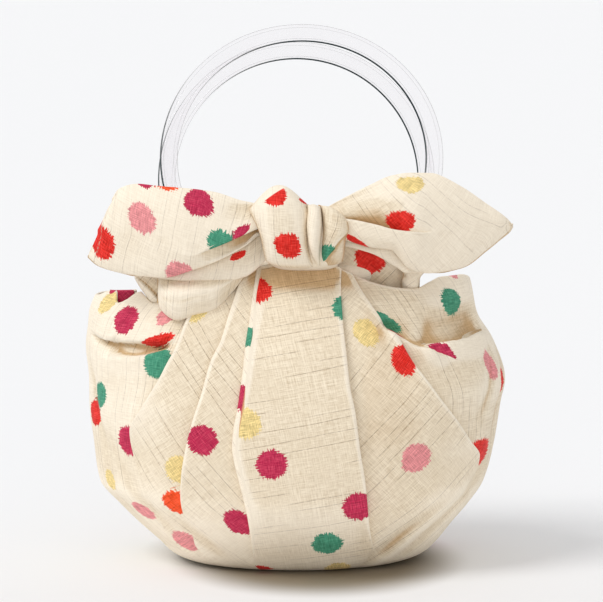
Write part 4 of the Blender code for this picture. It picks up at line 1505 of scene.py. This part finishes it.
@dataclass(frozen=True)
class AcrylicFinish:
    """Clear acrylic whose edges carry painted shade: a dark line along its inner side and a paler grey one
    along its outer side, with a faint painted reflection line inside.
    """

    # inner is the colour of the painted shade line, outer that of the paler grey edge line
    inner: tuple[float, float, float, float] = (0.018, 0.036, 0.042, 1.0)
    outer: tuple[float, float, float, float] = (0.40, 0.40, 0.39, 1.0)
    clear: tuple[float, float, float, float] = (0.985, 0.98, 0.985, 1.0)
    shine: tuple[float, float, float, float] = (0.95, 0.95, 0.96, 1.0)

    def make(self) -> bpy.types.Material:
        """The material."""
        g = Graph.new("clear_acrylic")
        facing = Num(g, g.node("ShaderNodeLayerWeight", None, {"Blend": 0.5}).outputs["Facing"])
        shaded = Num(g, g.attribute("shaded", "Fac"))
        see = g.node("ShaderNodeBsdfTransparent", None, {"Color": self.clear})
        gloss = g.node("ShaderNodeBsdfPrincipled", None, {"Base Color": self.shine, "Roughness": 0.06})
        dark = g.node("ShaderNodeBsdfPrincipled", None, {"Base Color": self.inner, "Specular IOR Level": 0.0})
        pale = g.node("ShaderNodeBsdfPrincipled", None, {"Base Color": self.outer, "Specular IOR Level": 0.0})
        body = g.node("ShaderNodeMixShader", None, {0: 0.05, 1: see.outputs[0], 2: gloss.outputs[0]})
        # painted shade: the edge line is darkest where the rod faces the dark side
        deep = shaded.step(0.40, 0.88)
        line = g.node("ShaderNodeMixShader", None, {0: deep, 1: pale.outputs[0], 2: dark.outputs[0]})
        edge = (facing - 0.66 + deep * 0.27).step(0.0, 0.12) * (0.42 + deep * 0.55)
        # a faint painted reflection line inside the rod
        inside = (facing - 0.22).math("ABSOLUTE").step(0.035, 0.0) * 0.16
        mixed = g.node("ShaderNodeMixShader", None, {
            0: edge.math("MAXIMUM", inside), 1: body.outputs[0], 2: line.outputs[0],
        })
        return g.finish(mixed.outputs[0])


@dataclass(frozen=True)
class FloorFinish:
    """The plain pale floor, with painted shade that makes it a little darker near the eye and to the right,
    and a painted shadow under the bag.
    """

    light: tuple[float, float, float, float] = (0.845, 0.843, 0.845, 1.0)
    # dark is the painted shade near the eye and to the right; under is the painted shadow beneath the bag,
    # round middle within spread
    dark: tuple[float, float, float, float] = (0.71, 0.68, 0.65, 1.0)
    under: tuple[float, float, float, float] = (0.30, 0.25, 0.18, 1.0)
    middle: tuple[float, float] = (0.012, -0.012)
    spread: tuple[float, float] = (0.088, 0.106)

    def make(self) -> bpy.types.Material:
        """The material."""
        g = Graph.new("pale_floor")
        place = g.node("ShaderNodeNewGeometry").outputs["Position"]
        across, deep = g.split(place)
        # painted shade, a little darker near the eye and to the right
        share = (deep * -1.0 + across * 0.10).step(-0.10, 0.70)
        # painted shadow under the bag, in an oval round its middle
        shadow_oval = ((across - self.middle[0]) / self.spread[0]) ** 2.0
        shadow_oval = shadow_oval + ((deep - self.middle[1]) / self.spread[1]) ** 2.0
        under = shadow_oval.step(1.0, 0.30)
        shader = g.node("ShaderNodeBsdfPrincipled", None, {
            "Base Color": g.multiply(g.mix(self.light, self.dark, share), self.under, under),
            "Roughness": 0.8,
            "Specular IOR Level": 0.2,
        })
        return g.finish(shader.outputs[0])


@dataclass(frozen=True)
class Studio:
    """The floor, the even light all round, the soft lamp high on the left and a level one in front.

    Each lamp has the way that its light travels, its strength and its spread in degrees.
    """

    reach: float = 60.0
    sky: tuple[float, float, float, float] = (0.975, 0.985, 1.0, 1.0)
    glow: float = 0.79
    key: tuple[tuple[float, float, float], float, float] = ((0.58, 0.30, -0.76), 1.32, 26.0)
    fill: tuple[tuple[float, float, float], float, float] = ((0.02, 0.99, 0.0), 0.68, 50.0)

    def lamp(self, name: str, way: tuple[float, float, float], strength: float, spread: float) -> None:
        """A broad far lamp whose light travels one way everywhere."""
        data = bpy.data.lights.new(name, "SUN")
        data.energy, data.angle = strength, math.radians(spread)
        lamp = bpy.data.objects.new(name, data)
        lamp.rotation_euler = Vector(way).to_track_quat("-Z", "Y").to_euler()
        bpy.context.scene.collection.objects.link(lamp)

    def make(self) -> None:
        """Builds the studio."""
        mesh = bpy.data.meshes.new("floor")
        r = self.reach
        mesh.from_pydata([(-r, -r, 0), (r, -r, 0), (r, r, 0), (-r, r, 0)], [], [(0, 1, 2, 3)])
        mesh.materials.append(FloorFinish().make())
        floor = bpy.data.objects.new("floor", mesh)
        bpy.context.scene.collection.objects.link(floor)
        world = bpy.data.worlds.new("studio")
        world.use_nodes = True
        back = world.node_tree.nodes["Background"]
        back.inputs["Color"].default_value = self.sky
        back.inputs["Strength"].default_value = self.glow
        bpy.context.scene.world = world
        self.lamp("key", *self.key)
        self.lamp("fill", *self.fill)
        bpy.context.scene.view_settings.view_transform = "Standard"


LEFT_TAIL = Tail(Panel.LEFT_TAIL, (
    Station((-12, 203), (-12, 196), 0.6, (-12, 190), (-12, 182), -52, 3, 4, 0.6),
    Station((-24, 207), (-22, 194), 1.6, (-20.8, 190), (-19, 174), -53, 4, 8, 2.0),
    Station((-31.9, 208.7), (-30, 190.6), 2.0, (-29, 183.6), (-29, 166), -53, 6, 12, 1.8),
    Station((-45.6, 213.1), (-45, 184.0), 1.3, (-45, 175), (-45, 163), -53, 8, 20, 1.1),
    Station((-59.4, 214.9), (-59, 178.5), 0.2, (-58, 170.2), (-59.5, 163.2), -52, 9, 26, 0.3),
    Station((-75.9, 216), (-75, 185), 0.0, (-74, 165.8), (-75, 164.6), -49, 8, 26, 0.1),
    Station((-88, 217), (-92, 188), 0.0, (-93, 167), (-93, 167.5), -45, 6, 20, 0.0),
    Station((-98.5, 214), (-107, 192), 0.0, (-110, 171.5), (-110, 172.5), -42, 4, 12, 0.0),
    Station((-102.5, 208.5), (-110.5, 190), 0.0, (-115.6, 176), (-115.6, 177), -40, 2, 5, 0.0),
))
RIGHT_TAIL = Tail(Panel.RIGHT_TAIL, (
    Station((13, 203), (13, 198), -0.4, (13, 188), (13, 184), -52, 3, 3, 0.4),
    Station((23.2, 208.7), (25, 198.0), -3.5, (24, 187), (24, 183), -52, 4, 6, 1.6),
    Station((39.7, 217), (41, 195.5), -5.5, (40, 182.6), (41, 178.6), -52, 6, 10, 1.3),
    Station((51, 222), (53, 192.5), -3.6, (50.5, 181.6), (53, 172), -53, 8, 12, 0.6),
    Station((61.7, 223.6), (65, 191.5), -1.2, (61, 171), (60, 168.2), -53, 9, 14, 0.2),
    Station((73, 223.3), (75, 192), 0.0, (72, 168.4), (72, 168.6), -51, 8, 12, 0.0),
    Station((89.2, 216), (90, 193), 0.0, (90, 171), (90, 171.6), -48, 6, 10, 0.0),
    Station((103, 206.6), (104, 193), 0.0, (103, 179.9), (103, 180.4), -45, 4, 6, 0.0),
    Station((112.8, 199.8), (112.8, 194), 0.0, (111.5, 186.6), (111.5, 187), -43, 2.5, 3, 0.0),
    Station((116.6, 196.4), (116.6, 193.5), 0.0, (116.4, 190.8), (116.4, 191.0), -42, 1, 1, 0.0),
    Station((117.9, 194.6), (118, 194), 0.0, (117.9, 193.2), (117.9, 193.4), -41.5, 0.4, 0.4, 0.0),
), pale=0.68)
BACK_LEFT_TAIL = Tail(Panel.BACK_TAIL_LEFT, (
    Station((-12, 180), (-12, 176), 0.6, (-12, 170), (-12, 162), 48, 3, 3, 0.6),
    Station((-24, 186), (-25, 175), 1.4, (-25, 168), (-25, 157), 50, 5, 7, 1.0),
    Station((-40, 195), (-41, 176), 1.2, (-42, 164), (-42, 157), 52, 8, 12, 0.8),
    Station((-60, 201), (-61, 179), 0.3, (-62, 162), (-62, 159), 52, 8, 14, 0.2),
    Station((-80, 199), (-82, 180), 0.0, (-83, 162), (-83, 162.5), 49, 6, 10, 0.0),
    Station((-96, 189), (-97, 178), 0.0, (-98, 168), (-98, 168.5), 45, 4, 6, 0.0),
    Station((-105, 180), (-105, 177.5), 0.0, (-105, 175), (-105, 175.5), 42, 1, 3, 0.0),
), side=-1.0)
BACK_RIGHT_TAIL = Tail(Panel.BACK_TAIL_RIGHT, (
    Station((12, 182), (12, 178), 0.6, (12, 172), (12, 164), 48, 3, 3, 0.6),
    Station((24, 187), (24, 177), 1.4, (25, 169), (25, 157), 50, 5, 7, 1.0),
    Station((40, 194), (41, 177), 1.2, (42, 164), (42, 155), 52, 8, 16, 0.8),
    Station((60, 199), (61, 177), 0.3, (62, 160), (62, 157), 52, 9, 20, 0.2),
    Station((78, 198), (80, 180), 0.0, (82, 163), (82, 163.5), 48, 6, 15, 0.0),
    Station((91, 193), (95, 184), 0.0, (98, 174), (98, 174.5), 43, 3, 6, 0.0),
), side=-1.0)
LOOP = Tail(Panel.LOOP, (
    Station((-22, 177), (-22, 176), 0.0, (-22, 174), (-22, 174.5), -42, 1, 2, 0.2),
    Station((-29, 172), (-29, 170), 0.0, (-28.6, 166.8), (-28.6, 167.2), -44, 3, 3, 0.2),
    Station((-38, 168), (-38, 161), 0.0, (-37.8, 155.2), (-37.8, 155.6), -45.5, 6, 4, 0.2),
    Station((-47, 166.5), (-47, 156), 0.0, (-47, 146.8), (-47, 147.2), -46.5, 8.5, 5, 0.2),
    Station((-57, 166), (-57, 154), 0.0, (-57, 144.6), (-57, 145.0), -46, 10, 5, 0.1),
    Station((-66, 165.5), (-66, 152), 0.0, (-66, 141.6), (-66, 142.0), -44.5, 10.5, 6, 0.0),
    Station((-73, 165), (-73, 153), 0.0, (-72.4, 144), (-72.4, 144.4), -42, 9, 6, 0.0),
    Station((-77, 164), (-77.3, 156), 0.0, (-77, 149.6), (-77, 150), -39, 6, 6, 0.0),
    Station((-76, 163), (-76.4, 156), 0.0, (-76, 152), (-76, 152.4), -36, 1, 6, 0.0),
), along=64, hems=False, pale=0.1)
KNOT_WIDE = Band(Panel.KNOT_WIDE, (
    (-22, 206, 2, 204, -46, 1.0, 8.0),
    (-25.5, 205, 4, 207, -53, 2.0, 11.0),
    (-26.4, 203.5, 6, 204, -59, 3.2, 8.4),
    (-24.4, 199, 6.2, 200.5, -63, 3.4, 4.0),
    (-21.6, 193, 5.4, 194, -65.5, 3.2, 0.5),
    (-19.8, 187, 5.4, 187, -66.2, 2.8, 0.0),
    (-18.6, 181, 6.4, 181, -65.5, 2.4, 0.0),
    (-17.4, 175.5, 8.4, 175, -62.5, 2.0, -0.8),
    (-15.5, 173.5, 10.5, 172.4, -57, 1.6, -1.2),
), across=34, down=54)
KNOT_NARROW = Band(Panel.KNOT_NARROW, (
    (4.6, 204, 11.4, 203, -54, 1.0, 1.0),
    (5.2, 206, 12.2, 205.4, -59, 1.6, 1.2),
    (5.2, 203, 12.8, 202.6, -63, 2.4, 0.5),
    (4.6, 196, 13.2, 196, -66, 2.8, 0.0),
    (5.4, 187, 12.4, 186.5, -66.5, 2.6, 0.0),
    (7.2, 180, 12.0, 179, -64.5, 2.0, 0.0),
    (9.5, 174.5, 12.2, 173, -59, 1.2, 0.0),
), across=18, down=48)
# this band's tone is painted shade, as it faces away from the light
KNOT_RIGHT = Band(Panel.KNOT_RIGHT, (
    (11.8, 204, 20, 201.5, -51, 1.0, 1.0),
    (12.0, 205.8, 24.4, 201, -56, 1.8, 1.6),
    (12.6, 202, 27.4, 197.5, -60.5, 2.6, 0.6),
    (13.2, 196, 27.8, 192.5, -63, 3.0, 0.0),
    (12.8, 187, 26.4, 188, -63, 2.8, 0.0),
    (12.2, 179, 25.4, 179.5, -60.8, 2.2, 0.0),
    (12.6, 172.6, 24.8, 174.5, -55, 1.2, -0.6),
), across=30, down=52, crease=((12, 171.5), (14.5, 175), (18.2, 181.5), (22, 186.5), (28, 192.5)), tone=0.82)
# this band's tone is painted shade inside the mouth
GUSSET = Band(Panel.GUSSET, (
    (18, 190, 46, 192, -35, 0.5, 0.0),
    (18, 180, 54, 182, -34.5, 1.0, 0.0),
    (19, 170, 58, 172, -33.5, 1.5, 0.0),
    (22, 160, 60, 162, -30, 1.5, 0.0),
    (24, 146, 61, 148, -27, 1.0, 0.0),
), across=30, down=30, sink=7.0, tone=0.38)
CURL = Band(Panel.GUSSET, (
    (55.5, 170, 76, 171, -33, 0.5, 0.0),
    (56.5, 168.5, 73, 168.6, -37, 1.5, 0.0),
    (58.5, 165, 70, 166, -36, 2.2, -1.0),
    (57.5, 161, 68, 162, -34, 2.0, -1.0),
    (58, 152, 68, 154, -30, 1.0, 0.0),
), across=24, down=26, sink=6.0)
V_FOLDS = Band(Panel.GUSSET, (
    (-91.4, 167, -72, 167, -32, 0.5, 0.0),
    (-91.0, 163.8, -72, 163, -33, 1.0, 0.0),
    (-88.2, 158.5, -72, 157.5, -33.5, 1.5, 0.0),
    (-84.8, 153.5, -72, 152, -33, 1.5, 0.0),
    (-81.0, 146, -72, 146, -31, 1.0, 0.0),
), across=26, down=30, crease=((-92, 166), (-84, 159.5), (-76, 151), (-70, 146)), step=-2.2)
SHOULDER = Band(Panel.GUSSET, (
    (-105.5, 155.2, -91.0, 155.4, -17, 0.5, 0.0),
    (-106, 154.6, -90.5, 154.8, -18.5, 0.6, 0.0),
    (-106, 150, -90.5, 150, -18.5, 0.6, 0.0),
    (-105, 143, -91, 143, -18, 0.5, 0.0),
), across=20, down=16, sink=2.0)
BACK_BAND = Band(Panel.BACK_KNOT, (
    (-18, 190, 10, 191, -52, 1.0, 0.0),
    (-20, 188, 14, 189, -60, 2.4, 0.0),
    (-21, 178, 15, 179, -66, 3.0, 0.0),
    (-20, 166, 14, 167, -67, 3.0, 0.0),
    (-17, 155, 12, 156, -64, 2.4, 0.0),
    (-14, 150, 10, 151, -56, 1.0, 0.0),
), back=True)
FRONT_CORE = Core(Panel.KNOT_CORE, (
    Lump(169.5, -10, 18, -48, -32),
    Lump(171.5, -14, 22, -55, -28),
    Lump(174.0, -16, 23, -58.5, -26),
    Lump(180.0, -18, 24, -61, -27),
    Lump(190.0, -19, 25, -62, -30),
    Lump(197.0, -20, 23, -60, -32),
    Lump(202.0, -21, 18, -57, -35),
    Lump(206.0, -20, 4, -54, -38),
    Lump(210.0, -18, -2, -52, -40),
    Lump(213.5, -15, -6, -50, -43),
))
BACK_CORE = Core(Panel.BACK_KNOT, (
    Lump(145.0, -14, 12, 32, 46),
    Lump(149.0, -20, 19, 27, 56),
    Lump(154.0, -24, 22, 26, 60),
    Lump(163.0, -25, 23, 28, 62),
    Lump(174.0, -25, 23, 30, 63),
    Lump(184.0, -23, 24, 34, 60),
    Lump(190.0, -15, 22, 38, 57),
    Lump(194.0, -4, 14, 43, 52),
))


@dataclass
class Cloth:
    """The one square of cloth, tied into a bag."""

    flat: float = 0.52
    pouch: Pouch = field(default_factory=Pouch)
    tails: tuple[Tail, ...] = (LEFT_TAIL, RIGHT_TAIL, BACK_LEFT_TAIL, BACK_RIGHT_TAIL, LOOP)
    bands: tuple[Band, ...] = (KNOT_WIDE, KNOT_NARROW, KNOT_RIGHT, GUSSET, CURL, V_FOLDS, SHOULDER, BACK_BAND)
    cores: tuple[Core, ...] = (FRONT_CORE, BACK_CORE)

    def make(self, handles: tuple[Handle, ...]) -> bpy.types.Object:
        """Builds and dresses the cloth.

        Args:
            handles: the rings that it is tied round.

        Returns:
            The cloth's object.
        """
        cloth = ClothMesh()
        for sheet in (self.pouch.wall(), self.pouch.lining()):
            cloth.add(sheet, thick=0.0)
        for maker in (*self.tails, *self.bands):
            cloth.add(maker.sheet())
        for core in self.cores:
            cloth.add(core.sheet(), thick=0.0)
        for handle in handles:
            cloth.add(handle.sleeve(), thick=0.0)
        thing = cloth.make("tied_cloth", LinenFinish().make())
        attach(thing, "root")
        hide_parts("cloth")
        return thing


def main() -> None:
    """Builds the camera, the studio, the rings and the cloth."""
    logging.basicConfig(level=logging.INFO, format="%(message)s")
    EYE.make()
    Studio().make()
    handles = (
        Handle("ring_front", across=2.0, deep=0.3, up=229.0, lean=23.0, reach=33.0),
        Handle("ring_back", across=-1.0, deep=37.0, up=213.0, lean=6.5, reach=30.0),
    )
    acrylic = AcrylicFinish().make()
    for handle in handles:
        ring = handle.make(acrylic)
        LOG.info("%s: %d faces", ring.name, len(ring.data.polygons))
    cloth = Cloth().make(handles)
    LOG.info("%s: %d faces", cloth.name, len(cloth.data.polygons))


if __name__ == "__main__":
    main()
